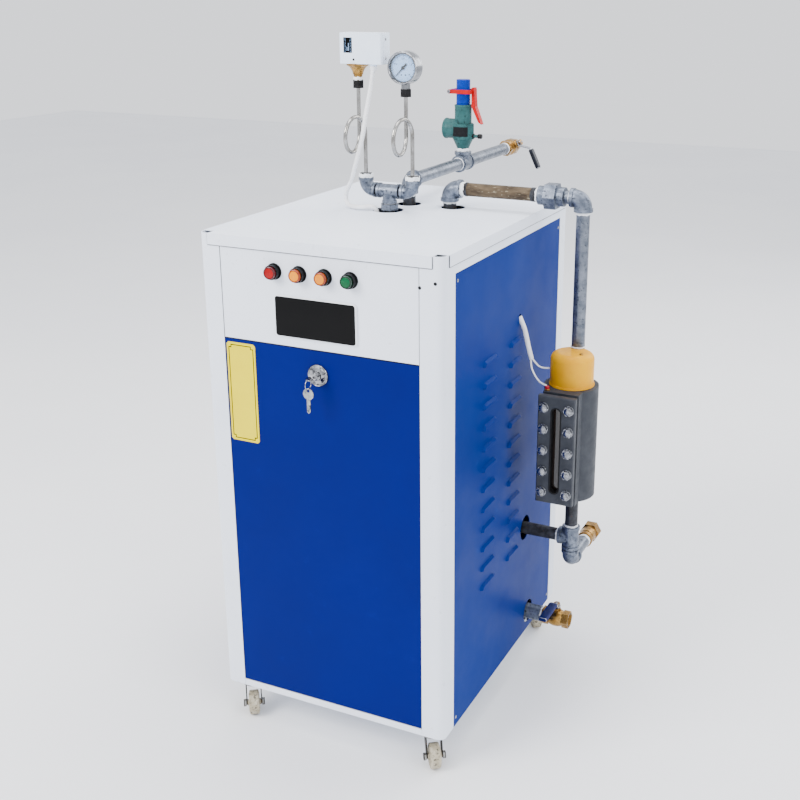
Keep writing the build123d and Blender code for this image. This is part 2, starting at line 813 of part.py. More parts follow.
union_end = union_start + union_length
with BuildPart() as galvanised_pipes:
    add(tube((steam_x, steam_y + main_fitting.reach - main_fitting.grip, steam_z), (0, 1, 0),
             safety_y - steam_y - 2 * main_fitting.reach + 2 * main_fitting.grip,
             main_fitting.pipe, main_fitting.bore))
    add(tube((steam_x, safety_y + main_fitting.reach - main_fitting.grip, steam_z), (0, 1, 0),
             steam_valve_y - safety_y - main_fitting.reach + 2 * main_fitting.grip,
             main_fitting.pipe, main_fitting.bore))
    add(tube((union_end - main_fitting.grip, level_y, level_z), (1, 0, 0),
             column_x - main_fitting.reach - union_end + 2 * main_fitting.grip,
             main_fitting.pipe, main_fitting.bore))
    add(tube((column_x, level_y, column_top - main_fitting.grip), (0, 0, 1),
             level_z - main_fitting.reach - column_top + 2 * main_fitting.grip,
             main_fitting.pipe, main_fitting.bore))
    add(tube((column_x, level_y + main_fitting.reach - main_fitting.grip, tail_z), (0, 1, 0),
             tail_nipple + 2 * main_fitting.grip, main_fitting.pipe, main_fitting.bore))
galvanised_pipes.part.label = "galvanised_pipes"
export_step(galvanised_pipes.part, "parts/galvanised_pipes.step")

with BuildPart() as rusty_pipe:
    add(tube((level_x + main_fitting.reach - main_fitting.grip, level_y, level_z), (1, 0, 0),
             union_start - level_x - main_fitting.reach + 2 * main_fitting.grip,
             main_fitting.pipe, main_fitting.bore))
rusty_pipe.part.label = "rusty_pipe"
export_step(rusty_pipe.part, "parts/rusty_pipe.step")

# Elbows, tees, the union, the drain coupling and the hexagon collar under the gauge header

with BuildPart() as pipe_elbows:
    add(elbow((steam_x, steam_y, steam_z), (0, 0, -1), (0, 1, 0), main_fitting))
    add(elbow((level_x, level_y, level_z), (0, 0, -1), (1, 0, 0), main_fitting))
    add(elbow((column_x, level_y, level_z), (-1, 0, 0), (0, 0, -1), main_fitting))
    add(elbow((column_x, level_y, tail_z), (0, 0, 1), (0, 1, 0), main_fitting))
    add(elbow((switch_x, header_y, header_z), (1, 0, 0), (0, 0, 1), small_fitting))
    add(elbow((gauge_x, header_y, header_z), (-1, 0, 0), (0, 0, 1), small_fitting))
pipe_elbows.part.label = "pipe_elbows"
export_step(pipe_elbows.part, "parts/pipe_elbows.step")

with BuildPart() as pipe_tees:
    add(tee((steam_x, safety_y, steam_z), (0, 1, 0), (0, 0, 1), main_fitting))
    add(tee((column_x, level_y, side_tee_z), (0, 0, 1), (-1, 0, 0), main_fitting))
    add(tee((header_x, header_y, header_z), (1, 0, 0), (0, 0, -1), small_fitting))
pipe_tees.part.label = "pipe_tees"
export_step(pipe_tees.part, "parts/pipe_tees.step")

with BuildPart() as pipe_couplings:
    with BuildSketch(Plane.YZ.offset(union_start)):
        with Locations((level_y, level_z)):
            Circle(main_fitting.band / 2)
    extrude(amount=union_length)
    with BuildSketch(Plane.YZ.offset(union_start + union_tail)):
        with Locations((level_y, level_z)):
            RegularPolygon(union_hex / 2, 6, major_radius=False)
    extrude(amount=union_length - 2 * union_tail)
    with BuildSketch(Plane.YZ.offset(union_start)):
        with Locations((level_y, level_z)):
            Circle(main_fitting.bore / 2)
    extrude(amount=union_length, mode=Mode.SUBTRACT)
    for start, way in ((union_start, 1), (union_end, -1)):
        with BuildSketch(Plane(origin=(start, level_y, level_z), z_dir=(way, 0, 0))):
            Circle(main_fitting.pipe / 2 + thread_play)
        extrude(amount=main_fitting.socket, mode=Mode.SUBTRACT)
    with BuildSketch(Plane.YZ.offset(drain_coupling_start)):
        with Locations((drain_y, drain_z)):
            Circle(drain_coupling / 2)
            Circle(main_fitting.pipe / 2 + thread_play, mode=Mode.SUBTRACT)
    extrude(amount=drain_coupling_length)
    add(hexagon_nut((header_x, header_y, height + lid_clearance), (0, 0, 1), nozzle_hex, nozzle_hex_height,
                    small_fitting.pipe + 2 * thread_play))
pipe_couplings.part.label = "pipe_couplings"
export_step(pipe_couplings.part, "parts/pipe_couplings.step")

# Siphon pipes with the bushes below them and the nuts above them

bush_top = header_z + small_fitting.reach + bush_height
switch_siphon_end = height + switch_siphon_top
gauge_siphon_end = height + gauge_siphon_top
with BuildPart() as siphon_pipes:
    add(siphon(switch_x, bush_top - siphon_grip, switch_siphon_end))
    add(siphon(gauge_x, bush_top - siphon_grip, gauge_siphon_end))
siphon_pipes.part.label = "siphon_pipes"
export_step(siphon_pipes.part, "parts/siphon_pipes.step")

with BuildPart() as siphon_fittings:
    for x, end in ((switch_x, switch_siphon_end), (gauge_x, gauge_siphon_end)):
        add(hexagon_nut((x, header_y, bush_top - bush_height), (0, 0, 1), bush_hex, bush_height,
                        siphon_tube + 2 * thread_play))
        add(hexagon_nut((x - siphon_pitch, header_y, end - siphon_grip), (0, 0, 1), nut_hex, nut_height,
                        siphon_tube + 2 * thread_play))
siphon_fittings.part.label = "siphon_fittings"
export_step(siphon_fittings.part, "parts/siphon_fittings.step")

# Pressure switch: its box, and the bellows and neck that stand on the siphon nut

switch_axis = switch_x - siphon_pitch
box_left = switch_axis - switch_bellows_in
box_bottom = height + switch_rise
box_middle = (box_left + switch_size[0] / 2, header_y, box_bottom + switch_size[2] / 2)
box_front = header_y - switch_size[1] / 2
gland_at = (box_left + gland_x, box_front + gland_y)
with BuildPart() as pressure_switch:
    with Locations(box_middle):
        Box(*switch_size)
    fillet(pressure_switch.edges().filter_by(Axis.Z), switch_corner)
    with BuildSketch(Plane.XZ.offset(-box_front)):
        with Locations((box_middle[0] + switch_window_at[0], box_middle[2] + switch_window_at[1] / 2)):
            Rectangle(*switch_window)
    extrude(amount=-switch_window_depth, mode=Mode.SUBTRACT)
    with BuildSketch(Plane.XY.offset(box_bottom)):
        with Locations(gland_at):
            Circle(gland_size / 2)
    extrude(amount=-gland_height)
pressure_switch.part.label = "pressure_switch"
export_step(pressure_switch.part, "parts/pressure_switch.step")

nut_rise = nut_height - siphon_grip
switch_nut_top = switch_siphon_end + nut_rise
flange_bottom = box_bottom - bellows_flange_height
with BuildPart() as switch_bellows:
    with BuildSketch(Plane.XZ.offset(-header_y)):
        with BuildLine():
            Line((switch_axis, switch_nut_top), (switch_axis + bellows_neck / 2, switch_nut_top))
            Line((switch_axis + bellows_neck / 2, switch_nut_top),
                 (switch_axis + bellows_neck / 2, flange_bottom - bellows_height))
            Line((switch_axis + bellows_neck / 2, flange_bottom - bellows_height),
                 (switch_axis + bellows_waist / 2, flange_bottom - bellows_height))
            ThreePointArc((switch_axis + bellows_waist / 2, flange_bottom - bellows_height),
                          (switch_axis + bellows_waist * 0.7, flange_bottom - bellows_height * 0.4),
                          (switch_axis + bellows_flange / 2, flange_bottom))
            Polyline((switch_axis + bellows_flange / 2, flange_bottom),
                     (switch_axis + bellows_flange / 2, box_bottom), (switch_axis, box_bottom),
                     (switch_axis, switch_nut_top))
        make_face()
    revolve(axis=Axis((switch_axis, header_y, 0), (0, 0, 1)))
    with BuildSketch(Plane.XY.offset(switch_nut_top)):
        with Locations((switch_axis, header_y)):
            Circle(siphon_tube / 2)
    extrude(amount=-(nut_rise - seat_play))
switch_bellows.part.label = "switch_bellows"
export_step(switch_bellows.part, "parts/switch_bellows.step")

# Pressure gauge with its dial

gauge_axis = gauge_x - siphon_pitch
gauge_z = height + gauge_rise
gauge_face = header_y - gauge_front
gauge_bottom = gauge_z - gauge_size / 2
gauge_nut_top = gauge_siphon_end + nut_rise
with BuildPart() as gauge_case:
    with BuildSketch(Plane.XZ.offset(-gauge_face)):
        with Locations((gauge_axis, gauge_z)):
            Circle(gauge_size / 2)
    extrude(amount=-gauge_depth)
    fillet(gauge_case.edges().filter_by(GeomType.CIRCLE), 2)
    with BuildSketch(Plane.XZ.offset(-gauge_face)):
        with Locations((gauge_axis, gauge_z)):
            Circle(gauge_size / 2 - gauge_wall)
    extrude(amount=-gauge_recess, mode=Mode.SUBTRACT)
    with Locations((gauge_axis, header_y, (gauge_bottom + gauge_wall + gauge_nut_top) / 2)):
        Box(gauge_shank, gauge_shank, gauge_bottom + gauge_wall - gauge_nut_top)
    with BuildSketch(Plane.XY.offset(gauge_nut_top)):
        with Locations((gauge_axis, header_y)):
            Circle(siphon_tube / 2)
    extrude(amount=-(nut_rise - seat_play))
gauge_case.part.label = "gauge_case"
export_step(gauge_case.part, "parts/gauge_case.step")

with BuildPart() as gauge_dial:
    with BuildSketch(Plane.XZ.offset(-gauge_face - gauge_recess)):
        with Locations((gauge_axis, gauge_z)):
            Circle(gauge_size / 2 - gauge_wall - seat_play)
    extrude(amount=gauge_dial_sheet)
gauge_dial.part.label = "gauge_dial"
export_step(gauge_dial.part, "parts/gauge_dial.step")

# Safety valve: body with its side outlet, cap with the pivot pin, and the test lever

safety_bottom = steam_z + safety_base
safety_hex_bottom = safety_bottom + safety_cone
safety_hex_top = safety_hex_bottom + safety_hex_height
safety_cap_bottom = safety_hex_top + safety_bonnet_height
outlet_z = safety_hex_bottom + safety_outlet / 2
screw_z = safety_hex_bottom + safety_screw
with BuildPart() as safety_valve_body:
    with BuildSketch(Plane.XY.offset(steam_z + main_fitting.reach - main_fitting.grip)):
        with Locations((steam_x, safety_y)):
            Circle(safety_inlet / 2)
    extrude(amount=safety_base - main_fitting.reach + main_fitting.grip)
    with BuildSketch(Plane.XY.offset(safety_bottom)):
        with Locations((steam_x, safety_y)):
            Circle(safety_inlet / 2)
    with BuildSketch(Plane.XY.offset(safety_hex_bottom)):
        with Locations((steam_x, safety_y)):
            Circle(safety_hex / 2)
    loft()
    with BuildSketch(Plane.XY.offset(safety_hex_bottom)):
        with Locations((steam_x, safety_y)):
            RegularPolygon(safety_hex / 2, 6, major_radius=False)
    extrude(amount=safety_hex_height)
    with BuildSketch(Plane.XY.offset(safety_hex_top)):
        with Locations((steam_x, safety_y)):
            Circle(safety_bonnet / 2)
    extrude(amount=safety_bonnet_height)
    with BuildSketch(Plane.YZ.offset(steam_x)):
        with Locations((safety_y, outlet_z)):
            Circle(safety_outlet / 2)
    extrude(amount=-safety_outlet_reach)
    with BuildSketch(Plane.YZ.offset(steam_x - safety_outlet_reach)):
        with Locations((safety_y, outlet_z)):
            Circle(safety_outlet_bore / 2)
    extrude(amount=safety_outlet_reach - safety_hex / 4, mode=Mode.SUBTRACT)
    with BuildSketch(Plane.YZ.offset(steam_x)):
        with Locations((safety_y, screw_z)):
            Circle(safety_screw / 2)
    extrude(amount=safety_hex / 2 + safety_screw_reach)
safety_valve_body.part.label = "safety_valve_body"
export_step(safety_valve_body.part, "parts/safety_valve_body.step")

pivot_x = steam_x - safety_pivot
pivot_z = safety_cap_bottom + safety_lug_z
pin_half = safety_cap / 2 + safety_arm_gap + safety_arm_sheet + 1
with BuildPart() as safety_valve_cap:
    with BuildSketch(Plane.XY.offset(safety_cap_bottom)):
        with Locations((steam_x, safety_y)):
            Circle(safety_cap / 2)
    extrude(amount=safety_cap_height)
    fillet(safety_valve_cap.edges().group_by(Axis.Z)[-1], 1.5)
    with BuildSketch(Plane.XZ.offset(-safety_y - safety_lug_width / 2)):
        with Locations((pivot_x, pivot_z)):
            Circle(safety_lug_width / 2)
        with Locations(((pivot_x + steam_x) / 2, pivot_z)):
            Rectangle(safety_pivot, safety_lug_width)
    extrude(amount=safety_lug_width)
    with BuildSketch(Plane.XZ.offset(-safety_y - pin_half)):
        with Locations((pivot_x, pivot_z)):
            Circle(safety_pin / 2)
    extrude(amount=2 * pin_half)
safety_valve_cap.part.label = "safety_valve_cap"
export_step(safety_valve_cap.part, "parts/safety_valve_cap.step")

arm_inner = safety_cap / 2 + safety_arm_gap
bridge_x = steam_x + safety_bridge
handle_top = pivot_z + safety_arm
handle_tip = (bridge_x + safety_handle_flare, handle_top - safety_handle_drop)
with BuildPart() as safety_valve_lever:
    for side in (1, -1):
        plane_y = safety_y + side * (arm_inner + safety_arm_sheet / 2)
        with BuildSketch(Plane.XZ.offset(-plane_y - safety_arm_sheet / 2)):
            with Locations(((pivot_x + bridge_x) / 2, pivot_z)):
                Rectangle(bridge_x - pivot_x, safety_arm)
            with Locations((pivot_x, pivot_z)):
                Circle(safety_arm / 2)
                Circle(safety_pin / 2 + thread_play, mode=Mode.SUBTRACT)
        extrude(amount=safety_arm_sheet)
    with Locations((bridge_x, safety_y, pivot_z)):
        Box(safety_arm_sheet, 2 * (arm_inner + safety_arm_sheet), safety_arm)
    with BuildSketch(Plane.XZ.offset(-safety_y - safety_handle_width / 2)):
        with BuildLine():
            Polyline(
                (bridge_x - safety_arm_sheet / 2, handle_top),
                (bridge_x + safety_handle_sheet / 2, handle_top),
                (bridge_x + safety_handle_sheet * 0.8, handle_top - safety_handle_bend),
                (handle_tip[0] + safety_handle_sheet / 2, handle_tip[1]),
                (handle_tip[0] - safety_handle_sheet / 4, handle_tip[1] + safety_handle_sheet / 2),
                (bridge_x - safety_arm_sheet / 2, handle_top - safety_handle_bend),
                close=True,
            )
        make_face()
    extrude(amount=safety_handle_width)
safety_valve_lever.part.label = "safety_valve_lever"
export_step(safety_valve_lever.part, "parts/safety_valve_lever.step")

# Steam valve at the end of the outlet pipe and drain valve at the foot of the right side

stem_x = cos(radians(steam_stem_angle))
stem_z = sin(radians(steam_stem_angle))
steam_frame = Plane(origin=(steam_x, steam_valve_y, steam_z), x_dir=(0, 1, 0), z_dir=(stem_x, 0, stem_z))
steam_lever_frame = Plane(origin=(steam_x, steam_valve_y + valve_length / 2, steam_z),
                          x_dir=(stem_z, 0, -stem_x), z_dir=(stem_x, 0, stem_z))
drain_frame = Plane(origin=(drain_valve_x, drain_y, drain_z), x_dir=(1, 0, 0), z_dir=(0, 0, 1))
drain_lever_frame = Plane(origin=(drain_valve_x + valve_length / 2, drain_y, drain_z),
                          x_dir=(0, -1, 0), z_dir=(0, 0, 1))
valve_shape = ball_valve()
steam_lever_shape = valve_lever(steam_lever_rise, steam_lever_reach, steam_grip_length)
drain_lever_shape = valve_lever(drain_lever_rise, drain_lever_reach, drain_grip_length)

with BuildPart() as steam_valve_body:
    with Locations(Location(steam_frame)):
        add(valve_shape)
steam_valve_body.part.label = "steam_valve_body"
export_step(steam_valve_body.part, "parts/steam_valve_body.step")

with BuildPart() as steam_valve_lever:
    with Locations(Location(steam_lever_frame)):
        add(steam_lever_shape)
steam_valve_lever.part.label = "steam_valve_lever"
export_step(steam_valve_lever.part, "parts/steam_valve_lever.step")

with BuildPart() as drain_valve_body:
    with Locations(Location(drain_frame)):
        add(valve_shape)
drain_valve_body.part.label = "drain_valve_body"
export_step(drain_valve_body.part, "parts/drain_valve_body.step")

with BuildPart() as drain_valve_lever:
    with Locations(Location(drain_lever_frame)):
        add(drain_lever_shape)
drain_valve_lever.part.label = "drain_valve_lever"
export_step(drain_valve_lever.part, "parts/drain_valve_lever.step")

# Water column: a hollow casting with a flat neck, its cover plate, glass, bolts and cap

chamber_radius = column_radius - column_wall
bolt_spots = [(column_x + side * bolt_spread / 2, cover_middle + row * bolt_pitch)
              for side in (-1, 1)
              for row in range(-(bolt_rows // 2), bolt_rows // 2 + 1)]
with BuildPart() as column_body:
    with BuildSketch(Plane.XY.offset(column_bottom)):
        with Locations((column_x, column_y)):
            Circle(column_radius)
        with Locations((column_x, (neck_front + column_y) / 2)):
            Rectangle(neck_width, column_y - neck_front)
    extrude(amount=column_top - column_bottom)
    with BuildSketch(Plane.XY.offset(column_bottom + column_wall + main_fitting.socket / 2)):
        with Locations((column_x, column_y)):
            Circle(chamber_radius)
    extrude(amount=column_top - column_bottom - 2 * column_wall - main_fitting.socket, mode=Mode.SUBTRACT)
    with BuildSketch(Plane.XZ.offset(-neck_front)):
        with Locations((column_x, cover_middle)):
            SlotOverall(window_height, window_width, rotation=90)
    extrude(amount=-(column_y - neck_front), mode=Mode.SUBTRACT)
    with BuildSketch(Plane.XZ.offset(-neck_front)):
        with Locations(bolt_spots):
            Circle(bolt_size / 2 + bolt_play)
    extrude(amount=-(bolt_grip + bolt_play), mode=Mode.SUBTRACT)
    for start, way in ((column_top, -1), (column_bottom, 1)):
        with BuildSketch(Plane(origin=(column_x, level_y, start), z_dir=(0, 0, way))):
            Circle(main_fitting.pipe / 2 + thread_play)
        extrude(amount=main_fitting.socket, mode=Mode.SUBTRACT)
        with BuildSketch(Plane(origin=(column_x, level_y, start), z_dir=(0, 0, way))):
            Circle(main_fitting.bore / 2 - column_wall / 2)
        extrude(amount=main_fitting.socket + column_wall, mode=Mode.SUBTRACT)
column_body.part.label = "column_body"
export_step(column_body.part, "parts/column_body.step")

with BuildPart() as column_cover:
    with Locations((column_x, cover_front + cover_sheet / 2, cover_middle)):
        Box(cover_width, cover_sheet, cover_height)
    chamfer(column_cover.faces().sort_by(Axis.Y)[0].edges(), 2)
    with BuildSketch(Plane.XZ.offset(-cover_front)):
        with Locations((column_x, cover_middle)):
            SlotOverall(window_height, window_width, rotation=90)
        with Locations(bolt_spots):
            Circle(bolt_size / 2 + bolt_play)
    extrude(amount=-cover_sheet, mode=Mode.SUBTRACT)
column_cover.part.label = "column_cover"
export_step(column_cover.part, "parts/column_cover.step")

with BuildPart() as column_glass:
    with Locations((column_x, neck_front - glass_depth / 2, cover_middle)):
        Box(glass_width, glass_depth, window_height + 2 * glass_margin)
column_glass.part.label = "column_glass"
export_step(column_glass.part, "parts/column_glass.step")

with BuildPart() as column_bolts:
    with BuildSketch(Plane.XZ.offset(-cover_front)):
        with Locations(bolt_spots):
            RegularPolygon(bolt_hex / 2, 6, major_radius=False)
    extrude(amount=bolt_head)
    with BuildSketch(Plane.XZ.offset(-cover_front)):
        with Locations(bolt_spots):
            Circle(bolt_size / 2)
    extrude(amount=-(cover_sheet + glass_depth + bolt_grip))
column_bolts.part.label = "column_bolts"
export_step(column_bolts.part, "parts/column_bolts.step")

with BuildPart() as column_cap:
    with BuildSketch(Plane.XY.offset(column_top)):
        with Locations((column_x, column_y)):
            Circle(cap_radius)
    extrude(amount=cap_height)
    fillet(column_cap.edges().group_by(Axis.Z)[-1], cap_round)
    with BuildSketch(Plane.XY.offset(column_top)):
        with Locations((column_x, column_y)):
            Circle(cap_radius + cap_rim)
    extrude(amount=cap_rim_height)
    with BuildSketch(Plane.XY.offset(column_top)):
        with Locations((column_x, column_y)):
            Circle(cap_radius - cap_skin)
    extrude(amount=cap_height - cap_round, mode=Mode.SUBTRACT)
    with BuildSketch(Plane.XY.offset(column_top)):
        with Locations((column_x, level_y)):
            Circle(main_fitting.pipe / 2 + cap_pipe_gap)
    extrude(amount=cap_height, mode=Mode.SUBTRACT)
column_cap.part.label = "column_cap"
export_step(column_cap.part, "parts/column_cap.step")

with BuildPart() as level_terminal:
    with BuildSketch(Plane.XY.offset(column_top)):
        with Locations(terminal_at):
            Circle(terminal_size / 2)
    extrude(amount=terminal_height)
    fillet(level_terminal.edges().group_by(Axis.Z)[-1], 2)
level_terminal.part.label = "level_terminal"
export_step(level_terminal.part, "parts/level_terminal.step")

tail_start = level_y + main_fitting.reach + tail_nipple
with BuildPart() as column_drain_fitting:
    with BuildSketch(Plane.XZ.offset(-tail_start)):
        with Locations((column_x, tail_z)):
            Circle(tail_collar / 2)
    extrude(amount=-tail_collar_length)
    with BuildSketch(Plane.XZ.offset(-tail_start - tail_collar_length)):
        with Locations((column_x, tail_z)):
            Circle(tail_groove / 2)
    extrude(amount=-tail_groove_length)
    barrel_start = tail_start + tail_collar_length + tail_groove_length
    with BuildSketch(Plane.XZ.offset(-barrel_start)):
        with Locations((column_x, tail_z)):
            Circle(tail_collar / 2)
    extrude(amount=-tail_barrel_length)
    with BuildSketch(Plane.XZ.offset(-barrel_start - tail_barrel_length)):
        with Locations((column_x, tail_z)):
            RegularPolygon(tail_hex / 2, 6, major_radius=False)
    extrude(amount=-tail_hex_length)
    tail_end = barrel_start + tail_barrel_length + tail_hex_length
    for start, way in ((tail_start, 1), (tail_end, -1)):
        with BuildSketch(Plane(origin=(column_x, start, tail_z), z_dir=(0, way, 0))):
            Circle(main_fitting.pipe / 2 + thread_play)
        extrude(amount=main_fitting.socket, mode=Mode.SUBTRACT)
column_drain_fitting.part.label = "column_drain_fitting"
export_step(column_drain_fitting.part, "parts/column_drain_fitting.step")

# Lamps: four black bezels, and the lenses that sit in them

lens_set = lamp_reach - lens_dome
with BuildPart() as lamp_bezels:
    with BuildSketch(Plane.XZ.offset(panel_face)):
        with Locations(lamp_spots):
            Circle(lamp_flange / 2)
    extrude(amount=lamp_reach / 4)
    with BuildSketch(Plane.XZ.offset(panel_face)):
        with Locations(lamp_spots):
            Circle(lamp_barrel / 2)
    extrude(amount=lamp_reach)
    with BuildSketch(Plane.XZ.offset(panel_face)):
        with Locations(lamp_spots):
            Circle(lamp_stem / 2)
    extrude(amount=-lamp_stem_length)
    with BuildSketch(Plane.XZ.offset(panel_face + lamp_reach)):
        with Locations(lamp_spots):
            Circle(lamp_lens / 2 + seat_play)
    extrude(amount=-lens_set, mode=Mode.SUBTRACT)
lamp_bezels.part.label = "lamp_bezels"
export_step(lamp_bezels.part, "parts/lamp_bezels.step")

lens_spots = {
    "lamp_lens_red": lamp_spots[:1],
    "lamp_lenses_amber": lamp_spots[1:3],
    "lamp_lens_green": lamp_spots[3:],
}
for lens_name, spots in lens_spots.items():
    with BuildPart() as lens:
        with BuildSketch(Plane.XZ.offset(panel_face + lens_dome)):
            with Locations(spots):
                Circle(lamp_lens / 2)
        extrude(amount=lamp_reach)
        fillet(lens.edges().group_by(Axis.Y)[0], lens_dome - 1)
    lens.part.label = lens_name
    export_step(lens.part, f"parts/{lens_name}.step")

# Display: a pale rim with a body behind the panel, and the dark screen set in it

screen_size = (display_size[0] - 2 * display_rim, display_size[1] - 2 * display_rim)
with BuildPart() as display_unit:
    with BuildSketch(Plane.XZ.offset(panel_face)):
        with Locations(display_centre):
            RectangleRounded(*display_size, display_corner)
    extrude(amount=display_proud)
    chamfer(display_unit.faces().sort_by(Axis.Y)[0].edges(), 1.5)
    with BuildSketch(Plane.XZ.offset(panel_face)):
        with Locations(display_centre):
            Rectangle(display_size[0] - 4 * display_rim, display_size[1] - 4 * display_rim)
    extrude(amount=-display_body)
    with BuildSketch(Plane.XZ.offset(panel_face + display_proud)):
        with Locations(display_centre):
            RectangleRounded(*screen_size, display_corner - display_rim / 2)
    extrude(amount=-(display_proud - skin), mode=Mode.SUBTRACT)
display_unit.part.label = "display_unit"
export_step(display_unit.part, "parts/display_unit.step")

with BuildPart() as display_screen:
    with BuildSketch(Plane.XZ.offset(panel_face + skin)):
        with Locations(display_centre):
            RectangleRounded(screen_size[0] - 2 * seat_play, screen_size[1] - 2 * seat_play,
                             display_corner - display_rim / 2 - seat_play)
    extrude(amount=display_proud - skin - screen_set)
display_screen.part.label = "display_screen"
export_step(display_screen.part, "parts/display_screen.step")

# Bare label plate with notched corners on the door

with BuildPart() as label_plate:
    with BuildSketch(Plane.XZ.offset(panel_face)):
        with Locations(label_centre):
            Rectangle(*label_size)
    extrude(amount=label_sheet)
    chamfer(label_plate.edges().filter_by(Axis.Y), label_notch / 2)
label_plate.part.label = "label_plate"
export_step(label_plate.part, "parts/label_plate.step")

# Door lock with its plug and key, the key ring and the spare key on it

lock_front = panel_face + lock_flange_sheet
with BuildPart() as door_lock:
    with BuildSketch(Plane.XZ.offset(panel_face)):
        with Locations(lock_centre):
            Circle(lock_flange / 2)
    extrude(amount=lock_flange_sheet)
    chamfer(door_lock.faces().sort_by(Axis.Y)[0].edges(), 1)
    with BuildSketch(Plane.XZ.offset(panel_face)):
        with Locations(lock_centre):
            Circle(lock_barrel / 2)
    extrude(amount=-lock_barrel_length)
    with BuildSketch(Plane.XZ.offset(lock_front)):
        with Locations(lock_centre):
            Circle(lock_plug / 2)
    extrude(amount=lock_plug_proud)
door_lock.part.label = "door_lock"
export_step(door_lock.part, "parts/door_lock.step")

# The ring hangs on the web between the key's hole and the end of its bow

plug_front = -lock_front - lock_plug_proud
bow_y = plug_front - key_reach + key_bow / 2
hole_y = plug_front - key_reach + key_web + key_hole / 2
with BuildPart() as door_key:
    with BuildSketch(Plane.XY.offset(lock_centre[1] - key_sheet / 2)):
        with Locations((lock_centre[0], (plug_front - seat_play + bow_y) / 2)):
            Rectangle(key_blade, plug_front - seat_play - bow_y)
        with Locations((lock_centre[0], bow_y)):
            Circle(key_bow / 2)
        with Locations((lock_centre[0], hole_y)):
            Circle(key_hole / 2, mode=Mode.SUBTRACT)
    extrude(amount=key_sheet)
door_key.part.label = "door_key"
export_step(door_key.part, "parts/door_key.step")

ring_y = hole_y - key_ring / 2 + ring_wire * 2
ring_z = lock_centre[1] - key_ring / 2 + ring_wire * 2
with BuildPart() as key_ring_loop:
    with BuildSketch(Plane.XZ.offset(-ring_y)):
        with Locations((lock_centre[0], ring_z + key_ring / 2)):
            Circle(ring_wire / 2)
    revolve(axis=Axis((lock_centre[0], ring_y, ring_z), (1, 0, 0)))
key_ring_loop.part.label = "key_ring"
export_step(key_ring_loop.part, "parts/key_ring.step")

spare_hole_z = ring_z - key_ring / 2 + ring_wire / 2 + seat_play - key_hole / 2
spare_top = spare_hole_z + key_hole / 2 + key_web
with BuildPart() as spare_key:
    with BuildSketch(Plane.XZ.offset(-ring_y - key_sheet / 2)):
        with Locations((lock_centre[0], spare_top - key_bow / 2)):
            Circle(key_bow / 2)
        with Locations((lock_centre[0], spare_top - (key_bow / 2 + spare_key_length) / 2)):
            Rectangle(key_blade, spare_key_length - key_bow / 2)
        with Locations((lock_centre[0], spare_hole_z)):
            Circle(key_hole / 2, mode=Mode.SUBTRACT)
    extrude(amount=key_sheet)
spare_key.part.label = "spare_key"
export_step(spare_key.part, "parts/spare_key.step")

# Casters: the plates with their kingpins, then for each its turning fork and its wheel

plate_bottom = -caster_plate_sheet
race_bottom = plate_bottom - caster_race_height
axle_z = floor_z + wheel_size / 2
with BuildPart() as caster_plates:
    with BuildSketch():
        with Locations(list(caster_spots.values())):
            Rectangle(caster_plate, caster_plate)
    extrude(amount=plate_bottom)
    with BuildSketch(Plane.XY.offset(plate_bottom)):
        with Locations(list(caster_spots.values())):
            Circle(caster_race / 2)
    extrude(amount=-caster_race_height)
    with BuildSketch(Plane.XY.offset(race_bottom)):
        with Locations(list(caster_spots.values())):
            Circle(axle_size / 2)
    extrude(amount=-(caster_gap + fork_disc_height))
caster_plates.part.label = "caster_plates"
export_step(caster_plates.part, "parts/caster_plates.step")

# A fork stands on the plane z = 0 at its kingpin, with its wheel trailing along x
disc_top = race_bottom - caster_gap
leg_gap = fork_width - 2 * fork_sheet
with BuildPart() as fork_shape:
    with BuildSketch(Plane.XY.offset(disc_top)):
        Circle(fork_disc / 2)
        Circle(axle_size / 2 + axle_play, mode=Mode.SUBTRACT)
    extrude(amount=-fork_disc_height)
    for side in (1, -1):
        with BuildSketch(Plane.XZ.offset(side * (fork_width - fork_sheet) / 2 - fork_sheet / 2)):
            with BuildLine():
                Polyline(
                    (-fork_leg / 2, disc_top - fork_disc_height / 2),
                    (fork_leg / 2, disc_top - fork_disc_height / 2),
                    (caster_trail + axle_hex / 2, axle_z),
                    (caster_trail, axle_z - axle_hex / 2),
                    (caster_trail - axle_hex / 2, axle_z),
                    close=True,
                )
            make_face()
        extrude(amount=fork_sheet)
        with BuildSketch(Plane.XZ.offset(side * fork_width / 2)):
            with Locations((caster_trail, axle_z)):
                RegularPolygon(axle_hex / 2, 6, major_radius=False)
        extrude(amount=side * axle_head)
    with BuildSketch(Plane.XZ.offset(-fork_width / 2)):
        with Locations((caster_trail, axle_z)):
            Circle(axle_size / 2)
    extrude(amount=fork_width)

with BuildPart() as wheel_shape:
    with BuildSketch(Plane.XZ.offset(-wheel_width / 2)):
        with Locations((caster_trail, axle_z)):
            Circle(wheel_size / 2)
            Circle(axle_size / 2 + axle_play / 2, mode=Mode.SUBTRACT)
    extrude(amount=wheel_width)
    fillet(wheel_shape.edges().filter_by(GeomType.CIRCLE).sort_by(SortBy.RADIUS)[-2:], wheel_round)
    for side in (1, -1):
        with BuildSketch(Plane.XZ.offset(side * wheel_width / 2)):
            with Locations((caster_trail, axle_z)):
                Circle(axle_hex / 2)
                Circle(axle_size / 2 + axle_play / 2, mode=Mode.SUBTRACT)
        extrude(amount=side * ((leg_gap - wheel_width) / 2 - seat_play))

